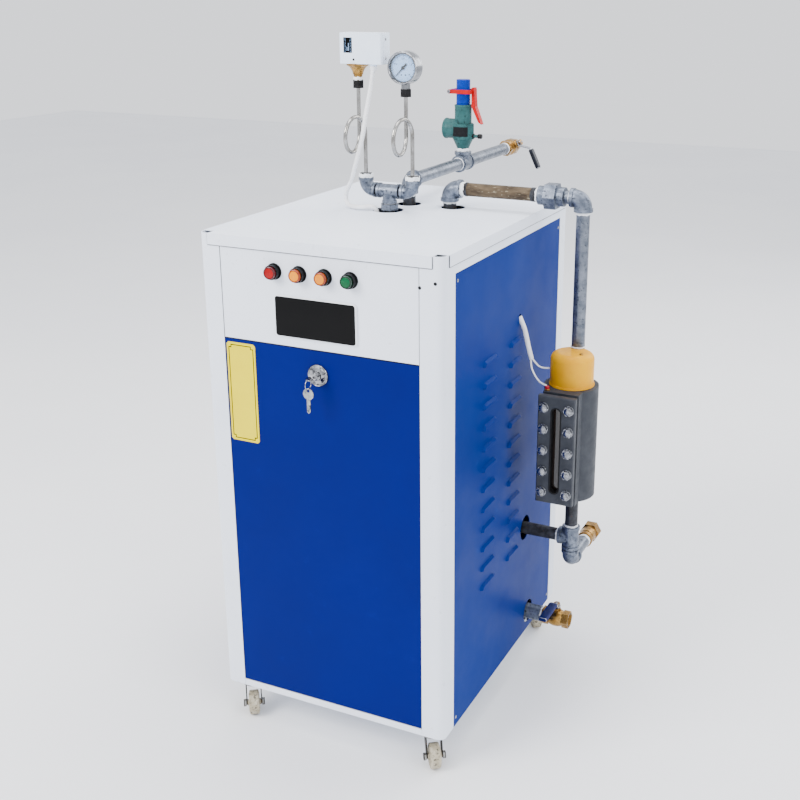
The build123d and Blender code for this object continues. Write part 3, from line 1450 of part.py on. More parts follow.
for corner_name, spot in caster_spots.items():
    swivel = Location((spot[0], spot[1], 0), (0, 0, caster_angle))
    with BuildPart() as caster_fork:
        with Locations(swivel):
            add(fork_shape.part)
    caster_fork.part.label = f"caster_fork_{corner_name}"
    export_step(caster_fork.part, f"parts/caster_fork_{corner_name}.step")
    with BuildPart() as caster_wheel:
        with Locations(swivel):
            add(wheel_shape.part)
    caster_wheel.part.label = f"caster_wheel_{corner_name}"
    export_step(caster_wheel.part, f"parts/caster_wheel_{corner_name}.step")

# Cords: the switch cable into the lid, and the sleeve and two wires of the water column

switch_cable_route = [
    (gland_at[0], gland_at[1], box_bottom - gland_height),
    (-57.0, 10.0, 1212.0),
    (-60.0, 1.0, 1178.0),
    (-62.5, -10.0, 1143.0),
    (-63.0, -21.0, 1108.0),
    (-69.0, -28.0, 1075.0),
    (-80.0, -26.0, 1043.0),
    (-97.0, -9.0, 1014.0),
    (-110.5, 0.5, 999.5),
    (-120.8, 8.6, 984.3),
    (-122.3, 9.7, 974.9),
    (-119.3, 7.5, 965.9),
    (-112.0, 2.5, 960.7),
    (-99.0, -4.5, 960.5),
    (-82.0, -9.0, 960.6),
    (-66.0, -8.0, 963.0),
    (-55.0, -4.0, 964.5),
    (-48.0, 1.5, 958.0),
    (-47.0, 3.0, 946.0),
    (-46.5, 4.0, 932.0),
]
level_sleeve_route = [
    (right - skin, wire_exit_y, wire_exit_z),
    (258.0, 46.0, 738.0),
    (264.0, 46.5, 716.0),
    (269.0, 46.0, 694.0),
    (276.0, 46.0, 672.0),
]
level_cap_route = [
    (277.5, 47.8, 671.6),
    (284.0, 48.5, 663.0),
    (292.0, 50.0, 656.0),
    (303.0, 52.5, 653.5),
    (column_x - wire_entry, 53.5, 655.0),
]
level_terminal_route = [
    (275.4, 43.8, 671.6),
    (278.0, 38.0, 658.5),
    (287.5, 31.0, 646.0),
    (298.0, 24.5, 637.0),
    (309.0, 18.5, 632.0),
    (terminal_at[0] - 1.5, terminal_at[1], column_top + terminal_height),
]
cords = {
    "switch_cable": (switch_cable_route, switch_cable_size),
    "level_sleeve": (level_sleeve_route, sleeve_size),
    "level_wire_cap": (level_cap_route, wire_size),
    "level_wire_terminal": (level_terminal_route, wire_size),
}
for cord_name, (cord_route, cord_size) in cords.items():
    with BuildPart() as free_cord:
        add(cord(cord_route, cord_size))
    free_cord.part.label = cord_name
    export_step(free_cord.part, f"parts/{cord_name}.step")
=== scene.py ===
import json
import math
import random

import bmesh
import bpy
from mathutils import Matrix, Vector


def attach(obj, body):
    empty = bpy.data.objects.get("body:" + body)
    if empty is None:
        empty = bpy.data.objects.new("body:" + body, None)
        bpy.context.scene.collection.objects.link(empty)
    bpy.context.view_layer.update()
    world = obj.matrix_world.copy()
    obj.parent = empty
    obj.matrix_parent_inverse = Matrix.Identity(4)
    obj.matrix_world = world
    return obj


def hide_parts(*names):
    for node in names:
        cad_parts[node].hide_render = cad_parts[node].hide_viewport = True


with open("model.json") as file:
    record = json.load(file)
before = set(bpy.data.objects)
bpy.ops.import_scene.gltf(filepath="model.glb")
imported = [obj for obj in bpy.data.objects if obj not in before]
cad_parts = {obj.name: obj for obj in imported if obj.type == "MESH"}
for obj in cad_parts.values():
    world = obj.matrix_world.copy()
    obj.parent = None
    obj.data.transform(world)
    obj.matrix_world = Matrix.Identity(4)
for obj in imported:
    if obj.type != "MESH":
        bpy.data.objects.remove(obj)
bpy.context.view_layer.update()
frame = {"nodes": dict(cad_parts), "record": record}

MM = 0.001
TAPE_SEED = 7
rng = random.Random(TAPE_SEED)

# Places in millimetres, in the frame of the CAD model

CABINET_RIGHT = 250.0
CABINET_FRONT = -321.0
SIDE_FACE = CABINET_RIGHT - 0.5
PANEL_FACE = CABINET_FRONT + 0.5
LID_TOP = 955.0
FLOOR_Z = -77.0
PIPE = 26.9
SMALL_PIPE = 21.3
REACH = 26.0
SMALL_REACH = 24.0
OUTLET_X = -22.0
OUTLET_Z = 1003.0
STEAM = (OUTLET_X, 99.0, OUTLET_Z)
SAFETY = (OUTLET_X, 375.0, OUTLET_Z)
PIPE_Y = 105.0
PIPE_Z = 993.0
LEVEL = (68.0, PIPE_Y, PIPE_Z)
COLUMN_X = 354.0
COLUMN_Y = 72.0
TAIL_Z = 210.0
HEADER_Y = 22.0
HEADER = (-28.5, HEADER_Y, 993.5)
SWITCH_X = -81.0
GAUGE_X = 24.0
GAUGE = (10.5, 6.0, 1236.0)
LAMP_FIRST_X = -87.0
LAMP_PITCH = 52.3
LAMP_Z = 897.0
LAMPS = [(LAMP_FIRST_X + LAMP_PITCH * n, LAMP_Z) for n in range(4)]
DISPLAY = (-2.5, 816.0)
LABEL = (-168.5, 652.0)
LOCK = (-2.0, 711.0)
DRAIN = (287.0, 137.0, 42.0)
VALVE_LENGTH = 62.0
STEAM_VALVE = (OUTLET_X, 630.0, OUTLET_Z)
STEM_ANGLE = math.radians(25.0)
CASTERS = {
    "front_right": (210.0, -285.0),
    "front_left": (-210.0, -285.0),
    "back_right": (210.0, 285.0),
    "back_left": (-210.0, 285.0),
}
CASTER_ANGLE = math.radians(-55.0)
TRAIL = 22.0
AXLE_Z = -52.0


# Colours and materials


def rgb(red, green, blue):
    """Linear colour of a display colour from 0 to 255."""
    def linear(value):
        share = value / 255
        return share / 12.92 if share <= 0.04045 else ((share + 0.055) / 1.055) ** 2.4
    return (linear(red), linear(green), linear(blue), 1.0)


def surface(name, base, second, roughness, metallic=0.0, patch=18.0, grain=700.0, bump=0.05, spread=0.08,
            coat=0.0, shine=0.2, edge=0.0006, stain=None, stain_share=0.5, stain_scale=60.0,
            streaks=(1.0, 1.0, 1.0)):
    """A paint, metal or plastic with patches, a stain, uneven gloss, fine bumps and softened edges."""
    made = bpy.data.materials.new(name)
    made.use_nodes = True
    nodes, links = made.node_tree.nodes, made.node_tree.links
    shader = nodes["Principled BSDF"]
    shader.inputs["Metallic"].default_value = metallic
    shader.inputs["Specular IOR Level"].default_value = shine
    shader.inputs["Coat Weight"].default_value = coat
    shader.inputs["Coat Roughness"].default_value = 0.12
    place = nodes.new("ShaderNodeTexCoord")
    stretch = nodes.new("ShaderNodeMapping")
    stretch.inputs["Scale"].default_value = streaks
    links.new(place.outputs["Object"], stretch.inputs["Vector"])

    def noise(scale, detail, low, high):
        cloud = nodes.new("ShaderNodeTexNoise")
        cloud.inputs["Scale"].default_value = scale
        cloud.inputs["Detail"].default_value = detail
        cloud.inputs["Roughness"].default_value = 0.6
        links.new(stretch.outputs["Vector"], cloud.inputs["Vector"])
        ranged = nodes.new("ShaderNodeMapRange")
        ranged.inputs["From Min"].default_value = low
        ranged.inputs["From Max"].default_value = high
        links.new(cloud.outputs["Fac"], ranged.inputs["Value"])
        return cloud, ranged

    patches = noise(patch, 5.0, 0.35, 0.65)[1]
    colour = nodes.new("ShaderNodeMix")
    colour.data_type = "RGBA"
    colour.inputs["A"].default_value = base
    colour.inputs["B"].default_value = second
    links.new(patches.outputs["Result"], colour.inputs["Factor"])
    result = colour.outputs["Result"]
    if stain is not None:
        spots = noise(stain_scale, 8.0, 1 - stain_share, 1 - stain_share + 0.12)[1]
        marked = nodes.new("ShaderNodeMix")
        marked.data_type = "RGBA"
        marked.inputs["B"].default_value = stain
        links.new(spots.outputs["Result"], marked.inputs["Factor"])
        links.new(result, marked.inputs["A"])
        result = marked.outputs["Result"]
    links.new(result, shader.inputs["Base Color"])
    gloss = noise(patch * 2.3, 4.0, 0.3, 0.7)[1]
    gloss.inputs["To Min"].default_value = max(0.02, roughness - spread)
    gloss.inputs["To Max"].default_value = min(1.0, roughness + spread)
    links.new(gloss.outputs["Result"], shader.inputs["Roughness"])
    fine = noise(grain, 3.0, 0.0, 1.0)[0]
    relief = nodes.new("ShaderNodeBump")
    relief.inputs["Strength"].default_value = bump
    relief.inputs["Distance"].default_value = 0.001
    links.new(fine.outputs["Fac"], relief.inputs["Height"])
    if edge > 0:
        soft = nodes.new("ShaderNodeBevel")
        soft.samples = 4
        soft.inputs["Radius"].default_value = edge
        links.new(soft.outputs["Normal"], relief.inputs["Normal"])
    links.new(relief.outputs["Normal"], shader.inputs["Normal"])
    return made


def clear_glass(name, tint, alpha):
    """A thin clear cover."""
    made = surface(name, tint, tint, 0.04, patch=8.0, bump=0.0, spread=0.02, edge=0.0, shine=0.3)
    shader = made.node_tree.nodes["Principled BSDF"]
    shader.inputs["Alpha"].default_value = alpha
    return made


RUST = rgb(112, 74, 50)
looks = {
    "white_sheet": dict(base=rgb(232, 238, 249), second=rgb(224, 231, 244), roughness=0.36, patch=3.0,
                        grain=1500.0, bump=0.035, edge=0.0012, stain=rgb(208, 213, 224),
                        stain_share=0.36),
    "door_blue": dict(base=rgb(0, 12, 92), second=rgb(0, 14, 100), roughness=0.42, patch=2.5,
                      grain=1500.0, bump=0.05, edge=0.001, shine=0.06, stain=rgb(1, 18, 108),
                      stain_share=0.34, stain_scale=20.0),
    "side_blue": dict(base=rgb(0, 32, 104), second=rgb(0, 38, 114), roughness=0.44, patch=2.5,
                      grain=1500.0, bump=0.05, edge=0.0008, shine=0.04, stain=rgb(0, 46, 122),
                      stain_share=0.34, stain_scale=20.0),
    "boiler_steel": dict(base=rgb(70, 70, 72), second=rgb(54, 52, 50), roughness=0.6, bump=0.2,
                         stain=RUST, stain_share=0.4),
    "dark_steel": dict(base=rgb(66, 68, 73), second=rgb(40, 40, 43), roughness=0.42, metallic=0.55,
                       patch=70.0, grain=900.0, bump=0.35, stain=rgb(74, 52, 42), stain_share=0.4,
                       stain_scale=180.0),
    "galvanised_steel": dict(base=rgb(126, 132, 143), second=rgb(90, 97, 108), roughness=0.36,
                             metallic=0.8, patch=60.0, grain=500.0, bump=0.2, spread=0.14,
                             stain=rgb(52, 58, 68), stain_share=0.43, stain_scale=140.0),
    "rusty_steel": dict(base=rgb(92, 78, 60), second=rgb(52, 42, 32), roughness=0.62, metallic=0.2,
                        patch=90.0, grain=600.0, bump=0.55, stain=rgb(150, 140, 118), stain_share=0.42,
                        stain_scale=240.0, streaks=(0.35, 1.0, 1.0)),
    "malleable_iron": dict(base=rgb(122, 130, 144), second=rgb(80, 87, 100), roughness=0.38, metallic=0.7,
                           patch=80.0, grain=420.0, bump=0.4, spread=0.14, stain=rgb(42, 46, 56),
                           stain_share=0.45, stain_scale=150.0),
    "siphon_steel": dict(base=rgb(176, 175, 173), second=rgb(134, 131, 126), roughness=0.2, metallic=1.0,
                         patch=40.0, grain=300.0, bump=0.08, edge=0.0, stain=rgb(88, 82, 74),
                         stain_share=0.38),
    "dark_nut": dict(base=rgb(26, 26, 29), second=rgb(16, 15, 16), roughness=0.38, metallic=0.3,
                     patch=120.0, bump=0.15, edge=0.0007, stain=rgb(72, 64, 56), stain_share=0.38,
                     stain_scale=200.0),
    "switch_box": dict(base=rgb(226, 236, 250), second=rgb(218, 230, 247), roughness=0.34, patch=12.0,
                       grain=300.0, bump=0.02, edge=0.001),
    "brass": dict(base=rgb(176, 138, 74), second=rgb(136, 98, 46), roughness=0.3, metallic=0.95,
                  patch=70.0, grain=500.0, bump=0.25, spread=0.12, edge=0.0008, stain=rgb(76, 52, 24),
                  stain_share=0.43, stain_scale=160.0),
    "gauge_metal": dict(base=rgb(150, 152, 156), second=rgb(110, 112, 116), roughness=0.22, metallic=1.0,
                        patch=60.0, bump=0.04, edge=0.0006),
    "dial_white": dict(base=rgb(160, 194, 234), second=rgb(150, 186, 230), roughness=0.5, patch=60.0,
                       bump=0.02, shine=0.1, edge=0.0),
    "safety_green": dict(base=rgb(50, 92, 92), second=rgb(38, 76, 76), roughness=0.44, patch=60.0,
                         grain=350.0, bump=0.35, shine=0.12, edge=0.0009, stain=rgb(28, 56, 56),
                         stain_share=0.44, stain_scale=90.0),
    "cap_blue": dict(base=rgb(0, 46, 148), second=rgb(0, 36, 128), roughness=0.36, patch=60.0, bump=0.15,
                     shine=0.12, edge=0.0008),
    "lever_red": dict(base=rgb(186, 2, 12), second=rgb(162, 1, 9), roughness=0.36, patch=60.0, bump=0.12,
                      shine=0.12, edge=0.001, stain=rgb(96, 2, 8), stain_share=0.34, stain_scale=120.0),
    "lever_steel": dict(base=rgb(188, 190, 194), second=rgb(150, 152, 158), roughness=0.32, metallic=0.95,
                        patch=80.0, bump=0.12, edge=0.0006, stain=rgb(104, 100, 96), stain_share=0.38),
    "grip_blue": dict(base=rgb(4, 22, 88), second=rgb(2, 14, 66), roughness=0.42, patch=90.0, grain=500.0,
                      bump=0.2, shine=0.12, edge=0.0008, stain=rgb(18, 40, 96), stain_share=0.38,
                      stain_scale=220.0),
    "grip_dark": dict(base=rgb(14, 20, 34), second=rgb(8, 12, 22), roughness=0.36, patch=90.0,
                      grain=500.0, bump=0.2, edge=0.0008, stain=rgb(34, 44, 66), stain_share=0.38,
                      stain_scale=220.0),
    "column_grey": dict(base=rgb(62, 65, 71), second=rgb(50, 53, 59), roughness=0.5, metallic=0.1,
                        patch=40.0, grain=300.0, bump=0.35, shine=0.15, edge=0.0012,
                        stain=rgb(92, 92, 92), stain_share=0.34, stain_scale=110.0),
    "sight_glass": dict(base=rgb(14, 12, 12), second=rgb(34, 22, 18), roughness=0.08, patch=30.0,
                        bump=0.0, coat=0.8, edge=0.0, streaks=(6.0, 6.0, 0.6)),
    "bolt_steel": dict(base=rgb(160, 162, 167), second=rgb(112, 114, 119), roughness=0.26, metallic=1.0,
                       patch=140.0, bump=0.15, edge=0.0008, stain=rgb(56, 54, 52), stain_share=0.44,
                       stain_scale=240.0),
    "cap_yellow": dict(base=rgb(228, 166, 0), second=rgb(220, 154, 0), roughness=0.36, patch=30.0,
                       grain=500.0, bump=0.08, shine=0.12, edge=0.001, stain=rgb(150, 100, 2),
                       stain_share=0.32, stain_scale=70.0),
    "terminal_red": dict(base=rgb(188, 20, 34), second=rgb(158, 14, 26), roughness=0.3, patch=90.0,
                         bump=0.05, coat=0.4),
    "bezel_black": dict(base=rgb(6, 6, 8), second=rgb(3, 3, 4), roughness=0.36, patch=90.0, bump=0.06,
                        shine=0.1, edge=0.0006),
    "lens_red": dict(base=rgb(150, 0, 4), second=rgb(128, 0, 3), roughness=0.24, patch=40.0, bump=0.04),
    "lens_amber": dict(base=rgb(226, 138, 0), second=rgb(218, 126, 0), roughness=0.24, patch=40.0,
                       bump=0.04),
    "lens_green": dict(base=rgb(0, 92, 54), second=rgb(0, 78, 44), roughness=0.24, patch=40.0, bump=0.04),
    "rim_red": dict(base=rgb(84, 0, 4), second=rgb(64, 0, 3), roughness=0.2, patch=40.0, bump=0.02,
                    coat=0.3),
    "rim_amber": dict(base=rgb(150, 52, 0), second=rgb(120, 38, 0), roughness=0.2, patch=40.0, bump=0.02,
                      coat=0.3),
    "rim_green": dict(base=rgb(0, 46, 24), second=rgb(0, 36, 18), roughness=0.2, patch=40.0, bump=0.02,
                      coat=0.3),
    "display_white": dict(base=rgb(236, 239, 243), second=rgb(226, 230, 236), roughness=0.3, patch=20.0,
                          bump=0.03, coat=0.3, edge=0.0008),
    "screen_black": dict(base=rgb(3, 3, 4), second=rgb(1, 1, 2), roughness=0.12, patch=20.0, bump=0.0,
                         spread=0.03, shine=0.1, edge=0.0005),
    "label_yellow": dict(base=rgb(226, 208, 0), second=rgb(220, 200, 0), roughness=0.45, patch=14.0,
                         bump=0.03, edge=0.0004, shine=0.04, stain=rgb(200, 172, 2), stain_share=0.32),
    "ink": dict(base=rgb(4, 4, 4), second=rgb(2, 2, 2), roughness=0.6, patch=60.0, bump=0.02, shine=0.05,
                edge=0.0),
    "lock_chrome": dict(base=rgb(168, 170, 174), second=rgb(112, 113, 117), roughness=0.13, metallic=1.0,
                        patch=70.0, bump=0.03, edge=0.0006, stain=rgb(52, 52, 54), stain_share=0.45,
                        stain_scale=110.0),
    "caster_zinc": dict(base=rgb(160, 160, 158), second=rgb(120, 118, 114), roughness=0.42, metallic=0.9,
                        patch=80.0, bump=0.2, edge=0.0005, stain=rgb(92, 80, 66), stain_share=0.44),
    "fork_dark": dict(base=rgb(44, 42, 40), second=rgb(24, 23, 22), roughness=0.42, metallic=0.5,
                      patch=90.0, bump=0.3, edge=0.0007, stain=rgb(84, 68, 50), stain_share=0.44,
                      stain_scale=140.0),
    "wheel_white": dict(base=rgb(184, 176, 156), second=rgb(148, 138, 116), roughness=0.5, patch=90.0,
                        grain=500.0, bump=0.25, edge=0.0008, stain=rgb(52, 46, 38), stain_share=0.46,
                        stain_scale=150.0),
    "cable_white": dict(base=rgb(236, 237, 240), second=rgb(222, 222, 224), roughness=0.4, patch=50.0,
                        grain=400.0, bump=0.12, edge=0.0, stain=rgb(196, 192, 186), stain_share=0.36),
    "tape": dict(base=rgb(244, 246, 249), second=rgb(226, 230, 235), roughness=0.55, patch=200.0,
                 grain=700.0, bump=0.6, edge=0.0, stain=rgb(190, 192, 196), stain_share=0.4,
                 stain_scale=320.0),
    "plate_dark": dict(base=rgb(14, 15, 19), second=rgb(8, 9, 12), roughness=0.36, metallic=0.2,
                       patch=90.0, bump=0.1, edge=0.0003, stain=rgb(70, 74, 82), stain_share=0.36,
                       stain_scale=400.0),
    # Painted shade: a flat dark colour standing in for the shade inside gaps, slot walls and the keyway
    "painted_hole_shade": dict(base=rgb(20, 20, 22), second=rgb(12, 12, 13), roughness=0.7, patch=60.0, bump=0.05,
                      edge=0.0),
}
materials = {name: surface(name, **look) for name, look in looks.items()}
materials["glass"] = clear_glass("glass", rgb(236, 244, 252), 0.04)
record_slots = {row["node"]: row["material_slot"] for row in frame["record"]["subparts"]}
slot_look = {"bellows_brass": "brass", "gauge_black": "gauge_metal", "wire_white": "cable_white"}
lever_nodes = ("steam_valve_lever", "drain_valve_lever")


def dress_cad_nodes():
    """Gives each CAD node its detailed material."""
    for name, node in frame["nodes"].items():
        slot = record_slots[name]
        look = "lever_steel" if name in lever_nodes else slot_look.get(slot, slot)
        node.data.materials.clear()
        node.data.materials.append(materials[look])


dress_cad_nodes()


# Mesh tools: all take millimetres


def frame_of(origin, direction):
    """A placing whose z runs along the direction."""
    along = Vector(direction).normalized()
    helper = Vector((0.0, 0.0, 1.0))
    if abs(along.dot(helper)) > 0.99:
        helper = Vector((0.0, 1.0, 0.0))
    across = helper.cross(along).normalized()
    side = along.cross(across)
    placing = Matrix((across, side, along)).transposed().to_4x4()
    placing.translation = Vector(origin) * MM
    return placing


def finish_piece(name, shape, placing, look, body, crease=35.0):
    """Turns a bmesh in millimetres into a smooth piece that rides on its body."""
    bmesh.ops.recalc_face_normals(shape, faces=shape.faces)
    mesh = bpy.data.meshes.new(name)
    shape.to_mesh(mesh)
    shape.free()
    mesh.transform(placing @ Matrix.Diagonal((MM, MM, MM, 1.0)))
    mesh.shade_smooth()
    mesh.set_sharp_from_angle(angle=math.radians(crease))
    piece = bpy.data.objects.new(name, mesh)
    bpy.context.scene.collection.objects.link(piece)
    mesh.materials.append(materials[look])
    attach(piece, body)
    return piece


def add_lathe(shape, profile, segments, placing=None):
    """Adds a turned solid from (radius, height) pairs, closed at both ends or round in a ring."""
    turn = placing or Matrix.Identity(4)
    closed = profile[0] == profile[-1]
    points = profile[:-1] if closed else profile
    rings = []
    for radius, height in points:
        if radius <= 0:
            rings.append([shape.verts.new(turn @ Vector((0.0, 0.0, height)))])
            continue
        ring = []
        for n in range(segments):
            angle = 2 * math.pi * n / segments
            place = Vector((radius * math.cos(angle), radius * math.sin(angle), height))
            ring.append(shape.verts.new(turn @ place))
        rings.append(ring)
    pairs = list(zip(rings, rings[1:]))
    if closed:
        pairs.append((rings[-1], rings[0]))
    for low, high in pairs:
        for n in range(segments):
            m = (n + 1) % segments
            if len(low) == 1 and len(high) == 1:
                continue
            if len(low) == 1:
                shape.faces.new((low[0], high[n], high[m]))
            elif len(high) == 1:
                shape.faces.new((low[n], high[0], low[m]))
            else:
                shape.faces.new((low[n], high[n], high[m], low[m]))


def lathe(name, profile, origin, direction, look, body, segments=48):
    """A turned piece from an origin along a direction."""
    shape = bmesh.new()
    add_lathe(shape, profile, segments)
    return finish_piece(name, shape, frame_of(origin, direction), look, body)


def add_prism(shape, outline, low, high, placing=None, hole=None):
    """Adds a straight solid between two heights over an outline, with a hole of as many points."""
    turn = placing or Matrix.Identity(4)
    loops = [[shape.verts.new(turn @ Vector((x, y, z))) for x, y in outline] for z in (low, high)]
    count = len(outline)
    for n in range(count):
        m = (n + 1) % count
        shape.faces.new((loops[0][n], loops[0][m], loops[1][m], loops[1][n]))
    if hole is None:
        shape.faces.new(list(reversed(loops[0])))
        shape.faces.new(loops[1])
        return
    inner = [[shape.verts.new(turn @ Vector((x, y, z))) for x, y in hole] for z in (low, high)]
    for n in range(count):
        m = (n + 1) % count
        shape.faces.new((inner[0][m], inner[0][n], inner[1][n], inner[1][m]))
        shape.faces.new((loops[0][m], loops[0][n], inner[0][n], inner[0][m]))
        shape.faces.new((loops[1][n], loops[1][m], inner[1][m], inner[1][n]))


def prism(name, outline, low, high, placing, look, body, hole=None, bevel=0.0):
    """A straight piece over an outline, with bevelled edges where asked."""
    shape = bmesh.new()
    add_prism(shape, outline, low, high, hole=hole)
    if bevel > 0:
        bmesh.ops.bevel(shape, geom=shape.edges[:], offset=bevel, segments=2, profile=0.7, affect="EDGES",
                        clamp_overlap=True)
    return finish_piece(name, shape, placing, look, body)


def rounded(width, height, radius, steps=6):
    """The outline of a rectangle with round corners about its middle."""
    points = []
    for corner, (sx, sy) in enumerate(((1, 1), (-1, 1), (-1, -1), (1, -1))):
        for n in range(steps + 1):
            angle = math.pi / 2 * (corner + n / steps)
            points.append((sx * (width / 2 - radius) + radius * math.cos(angle),
                           sy * (height / 2 - radius) + radius * math.sin(angle)))
    return points


def rectangle(x0, y0, x1, y1):
    return [(x0, y0), (x1, y0), (x1, y1), (x0, y1)]


def facing_front(x, y, z):
    """A placing with its x to the right, its y up and its z out of the front face."""
    return Matrix.Translation(Vector((x, y, z)) * MM) @ Matrix.Rotation(math.pi / 2, 4, "X")


# Camera, lights and floor


def make_camera():
    yaw = 0.43373
    pitch = 0.31394
    focal_pixels = 1142.8
    image = 800.0
    sensor = 36.0
    middle = (440.0, 355.0)
    place = (1028.09, -2016.43, 1390.0)
    right = Vector((math.cos(yaw), math.sin(yaw), 0.0))
    forward = Vector((-math.sin(yaw) * math.cos(pitch), math.cos(yaw) * math.cos(pitch),
                      -math.sin(pitch)))
    up = right.cross(forward)
    data = bpy.data.cameras.new("camera")
    data.sensor_width = sensor
    data.lens = focal_pixels / image * sensor
    data.shift_x = (image / 2 - middle[0]) / image
    data.shift_y = (middle[1] - image / 2) / image
    camera = bpy.data.objects.new("camera", data)
    camera.matrix_world = Matrix((right, up, -forward)).transposed().to_4x4()
    camera.location = Vector(place) * MM
    bpy.context.scene.collection.objects.link(camera)
    bpy.context.scene.camera = camera


def make_light(name, place, target, size, power, colour=(1.0, 1.0, 1.0)):
    data = bpy.data.lights.new(name, "AREA")
    data.shape = "RECTANGLE"
    data.size, data.size_y = size
    data.energy = power
    data.color = colour
    light = bpy.data.objects.new(name, data)
    light.location = place
    light.rotation_euler = (Vector(target) - Vector(place)).to_track_quat("-Z", "Y").to_euler()
    bpy.context.scene.collection.objects.link(light)


def make_studio():
    world = bpy.data.worlds.new("studio")
    bpy.context.scene.world = world
    world.use_nodes = True
    backdrop = world.node_tree.nodes["Background"]
    backdrop.inputs["Color"].default_value = (0.93, 0.95, 1.0, 1.0)
    backdrop.inputs["Strength"].default_value = 1.5
    make_light("key", (-2.0, -3.2, 3.2), (0.0, 0.0, 0.5), (2.2, 2.2), 250.0, (1.0, 0.98, 0.96))
    make_light("fill", (3.6, -1.4, 2.2), (0.1, 0.0, 0.5), (2.4, 2.0), 70.0)
    make_light("top", (0.3, 0.4, 3.4), (0.0, 0.1, 0.9), (2.4, 2.4), 90.0)
    make_light("rim", (1.8, 3.2, 2.4), (0.0, 0.0, 0.7), (2.0, 2.0), 60.0)
    floor_reach = 9.0
    floor_shape = bmesh.new()
    bmesh.ops.create_grid(floor_shape, x_segments=1, y_segments=1, size=floor_reach)
    mesh = bpy.data.meshes.new("floor")
    floor_shape.to_mesh(mesh)
    floor_shape.free()
    floor = bpy.data.objects.new("floor", mesh)
    floor.location = (0.0, 0.0, FLOOR_Z * MM)
    mesh.materials.append(surface("floor_paint", rgb(242, 243, 245), rgb(238, 239, 242), 0.7, patch=1.0,
                                  bump=0.0, edge=0.0))
    bpy.context.scene.collection.objects.link(floor)


make_camera()
make_studio()


# Cords: the routes of the part's source


def make_cord(name, route, size, look,
              body="cabinet"):
    curve = bpy.data.curves.new(name, "CURVE")
    curve.dimensions = "3D"
    curve.bevel_depth = size / 2 * MM
    curve.bevel_resolution = 5
    curve.resolution_u = 10
    curve.use_fill_caps = True
    line = curve.splines.new("NURBS")
    line.points.add(len(route) - 1)
    for point, place in zip(line.points, route):
        point.co = (*(Vector(place) * MM), 1.0)
    line.order_u = 3
    line.use_endpoint_u = True
    cable = bpy.data.objects.new(name + "_line", curve)
    bpy.context.scene.collection.objects.link(cable)
    curve.materials.append(materials[look])
    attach(cable, body)
    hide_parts(name)


switch_cable_route = [
    (-56.0, 14.0, 1237.0),
    (-57.0, 10.0, 1212.0),
    (-60.0, 1.0, 1178.0),
    (-62.5, -10.0, 1143.0),
    (-63.0, -21.0, 1108.0),
    (-69.0, -28.0, 1075.0),
    (-80.0, -26.0, 1043.0),
    (-97.0, -9.0, 1014.0),
    (-110.5, 0.5, 999.5),
    (-120.8, 8.6, 984.3),
    (-122.3, 9.7, 974.9),
    (-119.3, 7.5, 965.9),
    (-112.0, 2.5, 960.7),
    (-99.0, -4.5, 960.5),
    (-82.0, -9.0, 960.6),
    (-66.0, -8.0, 963.0),
    (-55.0, -4.0, 964.5),
    (-48.0, 1.5, 958.0),
    (-47.0, 3.0, 946.0),
    (-46.5, 4.0, 932.0),
]
level_sleeve_route = [
    (248.5, 46.0, 757.0),
    (258.0, 46.0, 738.0),
    (264.0, 46.5, 716.0),
    (269.0, 46.0, 694.0),
    (276.0, 46.0, 672.0),
]
level_cap_route = [
    (277.5, 47.8, 671.6),
    (284.0, 48.5, 663.0),
    (292.0, 50.0, 656.0),
    (303.0, 52.5, 653.5),
    (312.8, 53.5, 655.0),
]
level_terminal_route = [
    (275.4, 43.8, 671.6),
    (278.0, 38.0, 658.5),
    (287.5, 31.0, 646.0),
    (298.0, 24.5, 637.0),
    (309.0, 18.5, 632.0),
    (320.5, 15.0, 631.0),
]
make_cord("switch_cable", switch_cable_route, 9.0, "cable_white")
make_cord("level_sleeve", level_sleeve_route, 10.0, "cable_white")
make_cord("level_wire_cap", level_cap_route, 3.6, "cable_white")
make_cord("level_wire_terminal", level_terminal_route, 3.6, "cable_white")


# Sealing tape at the pipe joints


def tape_band(name, start, direction, radius, width, thickness=1.3):
    """A wrapped band with ragged edges, from its start along the direction."""
    phases = [rng.uniform(0, 2 * math.pi) for _ in range(4)]
    shape = bmesh.new()
    segments = 56
    levels = [0.0, 0.12, 0.5, 0.88, 1.0]
    rings = []
    for side in (0, 1):
        for share in (levels if side == 0 else reversed(levels)):
            ring = []
            for n in range(segments):
                angle = 2 * math.pi * n / segments
                rag = 0.10 * math.sin(5 * angle + phases[0]) + 0.07 * math.sin(11 * angle + phases[1])
                swell = 0.55 + 0.45 * math.sin(math.pi * share)
                bulk = thickness * swell * (1 + 0.18 * math.sin(3 * angle + phases[2] + 4 * share))
                out = radius + (bulk if side == 0 else 0.05)
                height = width * (share + (rag if share in (0.0, 1.0) else rag / 2))
                ring.append(shape.verts.new((out * math.cos(angle), out * math.sin(angle), height)))
            rings.append(ring)
    for low, high in zip(rings, rings[1:] + rings[:1]):
        for n in range(segments):
            m = (n + 1) % segments
            shape.faces.new((low[n], low[m], high[m], high[n]))
    return finish_piece(name, shape, frame_of(start, direction), "tape", "cabinet",
                        crease=60.0)


def step(point, direction, distance):
    return tuple(p + d * distance for p, d in zip(point, direction))


